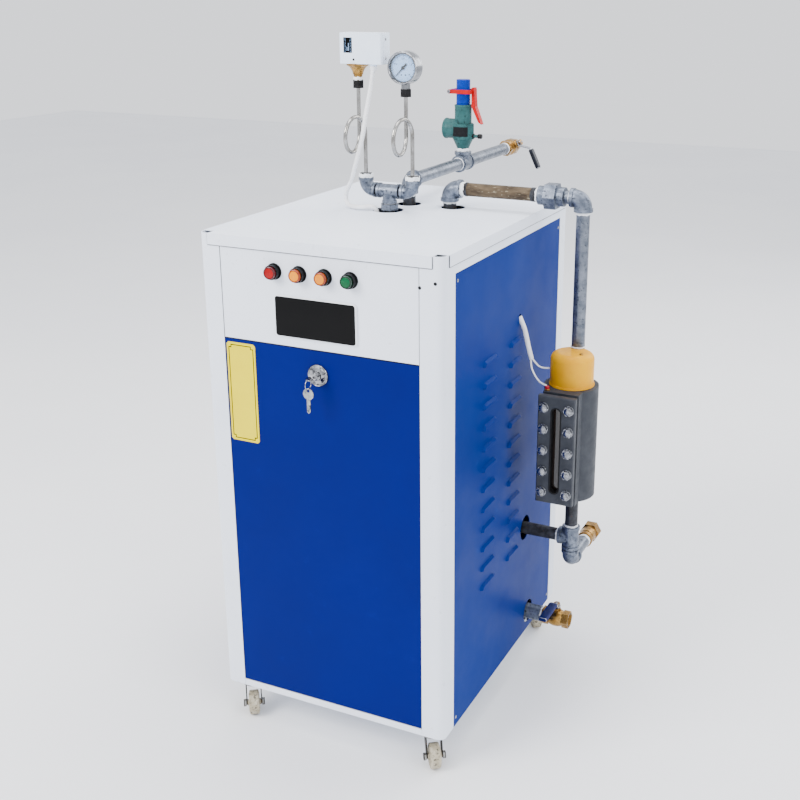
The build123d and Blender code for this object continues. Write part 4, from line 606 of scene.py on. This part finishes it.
SOUTH, NORTH, EAST, WEST = (0, -1, 0), (0, 1, 0), (1, 0, 0), (-1, 0, 0)
UP, DOWN = (0, 0, 1), (0, 0, -1)
SIDE_TEE = (COLUMN_X, PIPE_Y, 264.0)
TAIL = (COLUMN_X, PIPE_Y, TAIL_Z)
TOP_ELBOW = (COLUMN_X, PIPE_Y, PIPE_Z)
main_joints = {
    "steam_elbow_low": (STEAM, DOWN, 5.0),
    "steam_elbow_out": (STEAM, NORTH, 4.0),
    "safety_tee_in": (SAFETY, SOUTH, 3.5),
    "safety_tee_out": (SAFETY, NORTH, 4.0),
    "level_elbow_low": (LEVEL, DOWN, 4.5),
    "level_elbow_out": (LEVEL, EAST, 9.0),
    "top_elbow_in": (TOP_ELBOW, WEST, 2.5),
    "top_elbow_down": (TOP_ELBOW, DOWN, 5.5),
    "side_tee_up": (SIDE_TEE, UP, 4.5),
    "side_tee_left": (SIDE_TEE, WEST, 4.5),
    "tail_elbow_up": (TAIL, UP, 1.9),
    "tail_elbow_out": (TAIL, NORTH, 3.5),
}
for joint, (centre, way, band) in main_joints.items():
    tape_band("tape_" + joint, step(centre, way, REACH), way, PIPE / 2, band)
loose_joints = {
    "union_in": ((262.0, PIPE_Y, PIPE_Z), WEST, PIPE / 2, 5.0),
    "column_top": ((COLUMN_X, PIPE_Y, 690.0), UP, PIPE / 2, 3.0),
    "column_bottom": ((COLUMN_X, PIPE_Y, 385.0), DOWN, PIPE / 2, 4.0),
    "steam_valve": (STEAM_VALVE, SOUTH, PIPE / 2, 6.0),
    "tail_fitting": ((COLUMN_X, 205.0, TAIL_Z), SOUTH, PIPE / 2, 8.0),
    "drain_valve": ((282.2, *DRAIN[1:]), EAST, PIPE / 2, 4.6),
    "safety_inlet": ((*SAFETY[:2], 1029.0), UP, 13.2, 7.0),
    "header_left": (step(HEADER, WEST, SMALL_REACH), WEST, SMALL_PIPE / 2, 2.0),
    "header_low": (step(HEADER, DOWN, SMALL_REACH), DOWN, SMALL_PIPE / 2, 2.0),
    "switch_neck": ((-94.5, HEADER_Y, 1209.2), UP, 8.5, 6.5),
}
for joint, (start, way, radius, band) in loose_joints.items():
    tape_band("tape_" + joint, start, way, radius, band)
for joint, x in (("switch", SWITCH_X), ("gauge", GAUGE_X)):
    tape_band("tape_bush_" + joint, (x, HEADER_Y, 1017.7), UP, 13.6, 8.2, thickness=1.4)


# Pipe threads that show beside the fittings


def thread(name, start, direction, radius, length, look):
    """A short run of thread ridges, from its start along the direction."""
    pitch = 1.8
    turns = int(length / pitch)
    core, root, crest = radius - 0.2, radius + 0.15, radius + 0.75
    profile = [(core, 0.0)]
    for n in range(turns):
        profile += [(root, n * pitch + 0.2), (crest, n * pitch + 0.9), (root, n * pitch + 1.6)]
    profile += [(core, turns * pitch + 0.2), (core, 0.0)]
    lathe(name, profile, start, direction, look, "cabinet", segments=40)


threads = {
    "union_in": ((257.0, PIPE_Y, PIPE_Z), WEST, PIPE / 2, 11.0, "dark_steel"),
    "level_out": ((103.5, PIPE_Y, PIPE_Z), EAST, PIPE / 2, 7.0, "dark_steel"),
    "column": ((COLUMN_X, PIPE_Y, 380.5), DOWN, PIPE / 2, 8.0, "galvanised_steel"),
    "header_left": ((-54.7, *HEADER[1:]), WEST, SMALL_PIPE / 2, 2.0, "dark_steel"),
    "steam_out": ((OUTLET_X, 129.5, OUTLET_Z), NORTH, PIPE / 2, 6.0, "galvanised_steel"),
    "valve_in": ((OUTLET_X, 623.5, OUTLET_Z), SOUTH, PIPE / 2, 9.0, "galvanised_steel"),
}
for joint, (start, way, radius, length, look) in threads.items():
    thread("thread_" + joint, start, way, radius, length, look)


# Gauge face


def make_gauge():
    x, y, z = GAUGE
    body = "cabinet"
    dial_y = y + 6.0
    start, sweep_angle = 225.0, 270.0
    majors, minors = 8, 5
    mark_end = 25.0
    number_radius = 17.2
    lathe("gauge_bezel", [(27.5, -0.4), (27.2, 0.6), (28.6, 1.8), (30.2, 1.6), (31.2, 0.4), (31.4, -2.6),
                          (31.0, -3.0), (27.5, -0.4)], (x, y, z), SOUTH, "lock_chrome", body,
          segments=96)
    lathe("gauge_glass", [(0.0, 0.4), (14.0, 0.3), (27.4, -0.1), (27.4, -0.9), (0.0, -0.5)], (x, y, z),
          SOUTH, "glass", body, segments=96)
    marks = bmesh.new()
    for n in range(majors * minors + 1):
        angle = math.radians(start - sweep_angle * n / (majors * minors))
        inner, half = (21.0, 0.5) if n % minors == 0 else (22.8, 0.26)
        across = Vector((-math.sin(angle), math.cos(angle), 0))
        along = Vector((math.cos(angle), math.sin(angle), 0))
        corners = [along * inner - across * half, along * mark_end - across * half,
                   along * mark_end + across * half, along * inner + across * half]
        add_prism(marks, [(c.x, c.y) for c in corners], 0.0, 0.15)
    finish_piece("gauge_marks", marks, facing_front(x, dial_y, z), "ink", body)
    for n, word in enumerate(("0", "0.4", "0.8", "1.2", "1.6")):
        angle = math.radians(start - sweep_angle * n / 4)
        data = bpy.data.curves.new("gauge_number_" + str(n), "FONT")
        data.body = word
        data.size = 4.6 * MM
        data.extrude = 0.05 * MM
        data.align_x = "CENTER"
        data.align_y = "CENTER"
        number = bpy.data.objects.new("gauge_number_" + str(n), data)
        number.matrix_world = facing_front(x + number_radius * math.cos(angle), y + 5.9,
                                           z + number_radius * math.sin(angle))
        bpy.context.scene.collection.objects.link(number)
        data.materials.append(materials["ink"])
        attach(number, body)
    lathe("gauge_dial_ring", [(25.9, 0.0), (27.1, 0.0), (27.1, 0.4), (25.9, 0.4), (25.9, 0.0)],
          (x, dial_y, z), SOUTH, "ink", body, segments=96)
    turn = Matrix.Rotation(math.radians(start), 4, "Z")
    needle = bmesh.new()
    add_prism(needle, [(-10.5, -2.2), (-3.0, -1.6), (22.5, -0.45), (22.5, 0.45), (-3.0, 1.6),
                       (-10.5, 2.2)], 0.0, 0.5, placing=turn)
    finish_piece("gauge_needle", needle, facing_front(x, y + 4.8, z), "bezel_black", body)
    lathe("gauge_needle_hub", [(0.0, 1.2), (2.6, 1.1), (3.6, 0.6), (3.6, -0.6), (0.0, -0.6)],
          (x, y + 4.6, z), SOUTH, "bezel_black", body, segments=32)
    for side, hand in ((-1, "left"), (1, "right")):
        lathe("gauge_dial_screw_" + hand, [(0.0, 0.6), (1.1, 0.5), (1.5, 0.0), (0.0, 0.0)],
              (x + side * 4.5, dial_y, z - 13.5), SOUTH, "bezel_black", body, segments=24)
    lathe("gauge_back_ring", [(30.6, 0.0), (31.4, 1.0), (31.4, 4.0), (30.6, 5.0), (30.6, 0.0)],
          (x, y + 28.0, z), SOUTH, "gauge_metal", body, segments=96)


make_gauge()


# Pressure switch


def make_switch():
    body = "cabinet"
    left, right, low, high, front = -124.5, -32.5, 1241.0, 1300.0, 2.0
    window_x, window_z = -105.5, 1276.5
    prism("switch_window", rounded(18.6, 28.6, 0.8), -1.4, -0.5, facing_front(window_x, front, window_z),
          "screen_black", body)
    scale = bmesh.new()
    gaps, scale_low, scale_span, half_tick = 8, -11.5, 23.0, 0.22
    for side in (-1, 1):
        for n in range(gaps + 1):
            z = scale_low + n * scale_span / gaps
            length = 3.4 if n % 4 == 0 else 2.0
            x0 = side * 4.6
            add_prism(scale, rectangle(x0, z - half_tick, x0 + side * length, z + half_tick), 0.0, 0.12)
        pointer_x, pointer_top = side * 1.6, side * 3.6
        add_prism(scale, rectangle(pointer_x - 0.5, -10.5, pointer_x + 0.5, pointer_top), 0.0, 0.15)
    finish_piece("switch_scale", scale, facing_front(window_x, front + 0.45, window_z), "dial_white",
                 body)
    lathe("switch_face_screw", [(0.0, 0.5), (2.1, 0.3), (2.6, -0.2), (0.0, -0.2)], (-93.0, front, 1249.5),
          SOUTH, "bezel_black", body, segments=32)
    lip_middle = ((left + right) / 2, front + 10.0, (low + high) / 2)
    prism("switch_cover_lip", rounded(92.8, 58.9, 2.5), -0.6, 0.0, facing_front(*lip_middle),
          "switch_box", body, bevel=0.2)
    for n, (x, z) in enumerate(((left, 1288.0), (left, 1252.0), (right, 1288.0), (right, 1252.0))):
        way = WEST if x == left else EAST
        lathe("switch_side_screw_" + str(n), [(0.0, 1.4), (2.0, 1.2), (2.8, 0.3), (2.8, -0.2),
                                              (0.0, -0.2)], (x, HEADER_Y, z), way, "bolt_steel", body,
              segments=28)
    lathe("switch_gland_collar", [(4.9, 0.0), (7.3, 0.0), (7.6, 1.0), (6.6, 6.0), (5.2, 9.0), (4.8, 9.0),
                                  (4.9, 0.0)], (-56.0, 14.0, 1237.5), DOWN, "cable_white", body,
          segments=36)


make_switch()


# Lamps, display, label, lock and sheet screws


def make_front():
    body = "cabinet"
    colours = ("red", "amber", "amber", "green")
    bezel_depth = 18.0
    front = PANEL_FACE - bezel_depth
    for n, ((x, z), colour) in enumerate(zip(LAMPS, colours)):
        lathe(f"lamp_rim_{n + 1}", [(9.3, 0.0), (9.5, 0.9), (10.6, 1.2), (11.3, 0.7), (11.7, -1.6),
                                    (11.7, -4.6), (11.4, -4.6), (9.3, 0.0)], (x, front, z), SOUTH,
              "rim_" + colour, body, segments=64)
        lathe(f"lamp_face_{n + 1}", [(0.0, 0.9), (5.0, 0.8), (9.2, 0.35), (9.2, -0.3), (0.0, -0.3)],
              (x, front, z), SOUTH, "lens_" + colour, body, segments=64)
        lathe(f"lamp_gasket_{n + 1}", [(13.6, 0.0), (15.4, 0.0), (15.4, 0.8), (14.9, 1.2), (13.6, 1.2),
                                       (13.6, 0.0)], (x, PANEL_FACE, z), SOUTH, "bezel_black", body,
              segments=64)
    display_x, display_z = DISPLAY
    display_front = -325.5
    prism("display_glass", rounded(165.0, 74.0, 5.0), 0.0, 0.45,
          facing_front(display_x, display_front, display_z), "screen_black", body)
    plate_x, plate_z = LABEL
    plate_front = CABINET_FRONT - 0.5

    def notched(width, height, notch):
        """A rectangle with square notches in its corners."""
        a, b = width / 2, height / 2
        points = []
        for sx, sy in ((1, 1), (-1, 1), (-1, -1), (1, -1)):
            corner = [(sx * a, sy * (b - notch)), (sx * (a - notch), sy * (b - notch)),
                      (sx * (a - notch), sy * b)]
            points += corner if sx * sy > 0 else corner[::-1]
        return points

    prism("label_border", notched(55.0, 189.0, 5.0), 0.0, 0.12,
          facing_front(plate_x, plate_front, plate_z), "ink", body,
          hole=notched(51.8, 185.8, 5.0))
    x, z = LOCK
    dish_seat, keyway_front = -320.6, -326.5
    lathe("lock_dish", [(7.8, 3.4), (8.6, 4.6), (10.2, 3.9), (15.5, 2.9), (18.2, 3.2), (19.8, 4.0),
                        (20.9, 2.6), (20.9, 0.3), (20.2, 0.0), (7.8, 0.0), (7.8, 3.4)], (x, dish_seat, z),
          SOUTH, "lock_chrome", body, segments=96)
    # Painted shade: a flat dark mark standing in for the shade inside the keyway
    prism("lock_keyway", rounded(6.2, 1.4, 0.5), 0.0, 0.15, facing_front(x, keyway_front, z), "painted_hole_shade",
          body)
    corner_screws = {
        "front_low": ((204.5, CABINET_FRONT, 898.0), SOUTH, "dark_nut"),
        "front_high": ((234.0, CABINET_FRONT, 908.0), SOUTH, "dark_nut"),
        "side_back": ((SIDE_FACE, 262.0, 897.0), EAST, "bolt_steel"),
        "side_front": ((SIDE_FACE, -262.0, 902.0), EAST, "bolt_steel"),
        "side_back_low": ((SIDE_FACE, 262.0, 18.0), EAST, "bolt_steel"),
        "side_front_low": ((SIDE_FACE, -262.0, 18.0), EAST, "bolt_steel"),
        "left_back": ((-SIDE_FACE, 262.0, 897.0), WEST, "bolt_steel"),
        "left_front": ((-SIDE_FACE, -262.0, 902.0), WEST, "bolt_steel"),
        "left_back_low": ((-SIDE_FACE, 262.0, 18.0), WEST, "bolt_steel"),
        "left_front_low": ((-SIDE_FACE, -262.0, 18.0), WEST, "bolt_steel"),
        "back_right": ((194.0, -PANEL_FACE, 897.0), NORTH, "bolt_steel"),
        "back_left": ((-194.0, -PANEL_FACE, 897.0), NORTH, "bolt_steel"),
        "back_right_low": ((194.0, -PANEL_FACE, 34.0), NORTH, "bolt_steel"),
        "back_left_low": ((-194.0, -PANEL_FACE, 34.0), NORTH, "bolt_steel"),
    }
    for name, (place, way, look) in corner_screws.items():
        lathe("screw_" + name, [(0.0, 1.3), (1.4, 1.25), (2.6, 0.8), (3.2, 0.2), (3.2, -0.3),
                                (0.0, -0.3)], place, way, look, body, segments=28)


make_front()


# Painted shade: dark strips in the gaps where sheets meet, under the lid's lip and round the door


def make_gap_shade():
    # Each box is a thin dark strip of painted shade set into a gap between sheets
    shape = bmesh.new()
    front, flank, notch = -CABINET_FRONT, CABINET_RIGHT, 21.0
    low, high, top = 932.9, 934.0, LID_TOP - 1.0
    sunk, proud, half_gap = 0.4, 1.4, 0.35
    door_sunk, door_proud = 0.6, 0.05
    door_low, door_high = 16.0, 933.0
    boxes = [
        ((-flank + notch, -front - proud, low), (flank - notch, -front + sunk, high)),
        ((-flank + notch, front - sunk, low), (flank - notch, front + proud, high)),
        ((flank - sunk, -front + notch, low), (flank + proud, front - notch, high)),
        ((-flank - proud, -front + notch, low), (-flank + sunk, front - notch, high)),
        ((-203.9, -front - door_proud, door_low), (-203.1, -front + door_sunk, door_high)),
        ((203.1, -front - door_proud, door_low), (203.9, -front + door_sunk, door_high)),
        ((-203.0, -front - door_proud, 757.4), (203.0, -front + door_sunk, 758.6)),
    ]
    for sx in (-1, 1):
        for sy in (-1, 1):
            edge_x, edge_y = sx * (flank - notch), sy * (front - notch)
            boxes.append(((edge_x - half_gap, min(sy * (front - sunk), sy * (front + proud)), high),
                          (edge_x + half_gap, max(sy * (front - sunk), sy * (front + proud)), top)))
            boxes.append(((min(sx * (flank - sunk), sx * (flank + proud)), edge_y - half_gap, high),
                          (max(sx * (flank - sunk), sx * (flank + proud)), edge_y + half_gap, top)))
    for (x0, y0, z0), (x1, y1, z1) in boxes:
        add_prism(shape, rectangle(x0, y0, x1, y1), z0, z1)
    finish_piece("sheet_gap_shade", shape, Matrix.Identity(4), "painted_hole_shade", "cabinet")


make_gap_shade()


# Water column trim


def make_column():
    body = "cabinet"
    middle_z = 508.0
    front = -20.0
    face = facing_front(COLUMN_X, front, middle_z)
    bolt_x, bolt_pitch, head_height = 26.0, 45.0, 7.0
    slot_outline = rounded(22.6, 184.6, 11.2, steps=8)
    slot_hole = rounded(18.2, 180.2, 9.0, steps=8)
    prism("column_slot_rim", slot_outline, 0.0, 0.6, face, "plate_dark", body,
          hole=slot_hole)
    # Painted shade: a dark liner on the slot walls, standing in for the shade inside the recess
    prism("column_slot_wall_shade", rounded(17.8, 179.8, 8.8, steps=8), -12.8, -0.2, face,
          "painted_hole_shade", body, hole=rounded(16.6, 178.6, 8.2, steps=8))
    washers = bmesh.new()
    domes = bmesh.new()
    for side in (-1, 1):
        for row in range(-2, 3):
            local = Matrix.Translation((side * bolt_x, row * bolt_pitch, 0.0))
            add_lathe(washers, [(8.2, 0.0), (10.4, 0.0), (10.6, 0.5), (10.2, 1.3), (8.2, 1.3),
                                (8.2, 0.0)], 40, placing=local)
            add_lathe(domes, [(0.0, 2.0), (4.0, 1.8), (7.0, 1.0), (8.1, 0.0), (0.0, 0.0)], 40,
                      placing=local)
    finish_piece("column_washers", washers, face, "bolt_steel", body)
    finish_piece("column_bolt_faces", domes, facing_front(COLUMN_X, front - head_height, middle_z),
                 "bolt_steel", body)
    lathe("cap_screw", [(0.0, 2.4), (2.8, 2.2), (4.0, 1.0), (4.0, 0.0), (0.0, 0.0)],
          (COLUMN_X + 22.0, COLUMN_Y - 12.0, 689.8), UP, "brass", body, segments=32)
    lathe("cap_bead", [(44.0, 0.0), (45.9, 0.0), (46.1, 1.6), (45.2, 2.8), (44.0, 3.0), (44.0, 0.0)],
          (COLUMN_X, COLUMN_Y, 622.1), UP, "cap_yellow", body, segments=96)
    lathe("terminal_nut", [(4.4, 0.0), (6.4, 0.0), (6.4, 2.6), (5.8, 3.2), (4.4, 3.2), (4.4, 0.0)],
          (322.0, 15.0, 622.0), UP, "brass", body, segments=6)


make_column()


# Safety valve trim


def make_safety_valve():
    body = "cabinet"
    x, y = SAFETY[:2]
    screw_z = 1064.0
    slope_x, slope_y = 0.5, 0.866
    plate = bmesh.new()
    flat = 23.7
    half = flat * math.tan(math.radians(30.0))
    reach = 9.0
    outer = [(-half - reach * slope_x, -flat + reach * slope_y), (-half, -flat), (half, -flat),
             (half + reach * slope_x, -flat + reach * slope_y)]
    inner = [(a * 0.97, b * 0.97) for a, b in reversed(outer)]
    add_prism(plate, outer + inner, 0.0, 21.0)
    finish_piece("safety_nameplate", plate, Matrix.Translation(Vector((x, y, screw_z)) * MM),
                 "plate_dark", body)
    lathe("safety_outlet_lip", [(16.6, 0.0), (22.0, 0.0), (23.0, 1.0), (23.0, 5.0), (22.0, 6.5),
                                (21.6, 6.5), (16.6, 0.0)], (x - 43.2, y, 1079.0), EAST, "safety_green",
          body, segments=72)
    lathe("safety_cap_groove", [(15.4, 0.0), (15.9, 0.6), (15.9, 2.4), (15.4, 3.0), (15.4, 0.0)],
          (x, y, 1136.0), UP, "cap_blue", body, segments=60)
    lathe("safety_bonnet_ring", [(18.9, 0.0), (19.7, 0.8), (19.7, 3.4), (18.9, 4.2), (18.9, 0.0)],
          (x, y, 1128.5), UP, "safety_green", body, segments=72)
    lathe("safety_screw_knob", [(3.4, 0.0), (4.8, 0.0), (5.4, 1.0), (5.4, 8.0), (4.6, 9.0), (0.0, 9.2)],
          (x + 37.0, y, screw_z), EAST, "dark_nut", body, segments=18)
    lathe("safety_screw_nut", [(3.4, 0.0), (6.0, 0.0), (6.0, 4.0), (3.4, 4.0), (3.4, 0.0)],
          (x + 23.4, y, screw_z), EAST, "dark_nut", body, segments=6)
    for side, end in ((-1, "front"), (1, "back")):
        lathe("safety_pin_head_" + end, [(0.0, 1.6), (3.0, 1.3), (3.8, 0.2), (3.8, 0.0), (0.0, 0.0)],
              (-49.0, y + side * 20.0, 1162.0), (0, side, 0), "bolt_steel", body, segments=28)


make_safety_valve()


# Ball valves: sleeves on the levers, nuts on the stems and threads in the open ends


def make_lever_sleeve(name, placing, start, end, top, look, body):
    """A vinyl sleeve round a lever that runs along x at a height."""
    shape = bmesh.new()
    sections = 14
    rings = []
    for n in range(sections + 1):
        share = n / sections
        x = start + (end - start) * share
        bulge = 1.0 + 0.06 * math.sin(math.pi * share) + (0.05 if 0.05 < share < 0.12 else 0.0)
        width, height = 19.2 * bulge, 9.2 * bulge
        if n in (0, sections):
            width, height = width * 0.86, height * 0.72
        outline = rounded(width, height, height * 0.46, 5)
        rings.append([shape.verts.new((x, a, top + 1.5 + b)) for a, b in outline])
    for low, high in zip(rings, rings[1:]):
        count = len(low)
        for n in range(count):
            m = (n + 1) % count
            shape.faces.new((low[n], low[m], high[m], high[n]))
    shape.faces.new(rings[0])
    shape.faces.new(rings[-1])
    return finish_piece(name, shape, placing, look, body, crease=50.0)


def axes_frame(origin, x_way, z_way):
    """A placing at a point in millimetres, with its x and z along the given ways."""
    x_axis = Vector(x_way).normalized()
    z_axis = Vector(z_way).normalized()
    placing = Matrix((x_axis, z_axis.cross(x_axis), z_axis)).transposed().to_4x4()
    placing.translation = Vector(origin) * MM
    return placing


def make_valves():
    stem = (math.cos(STEM_ANGLE), 0.0, math.sin(STEM_ANGLE))
    hang = (math.sin(STEM_ANGLE), 0.0, -math.cos(STEM_ANGLE))
    steam_pivot = (STEAM_VALVE[0], STEAM_VALVE[1] + VALVE_LENGTH / 2, STEAM_VALVE[2])
    drain_pivot = (DRAIN[0] + VALVE_LENGTH / 2, DRAIN[1], DRAIN[2])
    steam_place = axes_frame(steam_pivot, hang, stem)
    drain_place = axes_frame(drain_pivot, (0, -1, 0), (0, 0, 1))
    make_lever_sleeve("steam_lever_sleeve", steam_place, 26.0, 77.0, 50.0, "grip_dark", "steam_lever")
    make_lever_sleeve("drain_lever_sleeve", drain_place, 22.0, 96.0, 43.0, "grip_blue", "drain_lever")
    for name, pivot, way in (("steam", steam_pivot, stem), ("drain", drain_pivot, (0, 0, 1))):
        lathe(name + "_stem_nut", [(0.0, 5.6), (2.6, 5.4), (3.6, 4.6), (6.4, 4.2), (7.2, 3.4), (7.2, 0.6),
                                   (6.6, 0.0), (0.0, 0.0)], step(pivot, way, 31.2), way, "bolt_steel",
              "cabinet", segments=24)
        lathe(name + "_gland_nut", [(4.2, 0.0), (9.4, 0.0), (9.8, 0.8), (9.8, 5.6), (9.0, 6.6),
                                    (4.2, 6.6), (4.2, 0.0)], step(pivot, way, 17.6), way, "brass",
              "cabinet", segments=6)
    thread_pitch, thread_turns = 1.8, 6
    profile = [(13.5, 0.0)]
    for n in range(thread_turns):
        profile += [(12.7, n * thread_pitch + 0.9), (13.45, n * thread_pitch + 1.8)]
    profile += [(13.54, 10.8), (13.54, 0.0), (13.5, 0.0)]
    rim = [(13.6, 0.0), (15.6, 0.0), (16.0, 0.5), (15.6, 1.0), (13.6, 1.0), (13.6, 0.0)]
    open_ends = {
        "steam": (step(steam_pivot, NORTH, VALVE_LENGTH / 2), SOUTH),
        "drain": (step(drain_pivot, EAST, VALVE_LENGTH / 2), WEST),
        "tail": ((COLUMN_X, 262.0, TAIL_Z), SOUTH),
    }
    for name, (mouth, way) in open_ends.items():
        lathe(name + "_bore_thread", profile, mouth, way, "brass", "cabinet",
              segments=48)
        outward = tuple(-w for w in way)
        lathe(name + "_mouth_rim", rim, step(mouth, way, 1.0), outward, "brass", "cabinet",
              segments=60)


make_valves()


# Spare key: the cut bit


def make_spare_key():
    half_width, cut_pitch, cut_flat = 3.75, 2.6, 1.5
    cuts = []
    for n, drop in enumerate((0.0, 1.2, 0.5, 1.8, 0.9, 0.2)):
        cuts.append((half_width - drop, -n * cut_pitch))
        cuts.append((half_width - drop, -n * cut_pitch - cut_flat))
    outline = [(-half_width, 0.0)] + cuts + [(0.0, -18.5), (-half_width, -15.6)]
    placing = facing_front(LOCK[0], -356.8, 667.0)
    prism("spare_key_bit", outline, -0.9, 0.9, placing, "lock_chrome", "spare")


# Casters: dishes, nuts, treads and races


def make_casters():
    trail = Vector((math.cos(CASTER_ANGLE), math.sin(CASTER_ANGLE), 0.0))
    axle = Vector((-math.sin(CASTER_ANGLE), math.cos(CASTER_ANGLE), 0.0))
    dish_seat, nut_seat, race_z = 10.0, 16.6, -10.0
    for name, (x, y) in CASTERS.items():
        centre = Vector((x, y, 0.0)) + trail * TRAIL
        centre.z = AXLE_Z
        wheel = "wheel_" + name
        fork = "fork_" + name
        for side in (-1, 1):
            word = "outer" if side > 0 else "inner"
            lathe(f"{wheel}_dish_{word}", [(7.0, 0.0), (7.0, 1.2), (9.5, 0.5), (15.5, 0.2), (17.5, 1.1),
                                           (19.0, 1.1), (20.2, 0.0), (7.0, 0.0)],
                  tuple(centre + axle * side * dish_seat), tuple(axle * side), "wheel_white", wheel,
                  segments=56)
            lathe(f"{fork}_nut_{word}", [(0.0, 5.2), (2.4, 5.0), (6.4, 4.6), (7.6, 3.6), (7.6, 0.0),
                                         (0.0, 0.0)], tuple(centre + axle * side * nut_seat),
                  tuple(axle * side), "caster_zinc", fork, segments=6)
        lathe(wheel + "_tread", [(24.9, -6.0), (25.0, -5.0), (24.4, -4.6), (24.4, 4.6), (25.0, 5.0),
                                 (24.9, 6.0), (24.2, 6.0), (24.2, -6.0), (24.9, -6.0)], tuple(centre),
              tuple(axle), "wheel_white", wheel, segments=72)
        lathe(fork + "_race", [(19.0, 0.0), (22.2, 0.0), (22.6, -0.8), (22.6, -3.2), (21.8, -4.0),
                               (19.0, -4.0), (19.0, 0.0)], (x, y, race_z), UP, "caster_zinc", fork,
              segments=56)


make_spare_key()
make_casters()
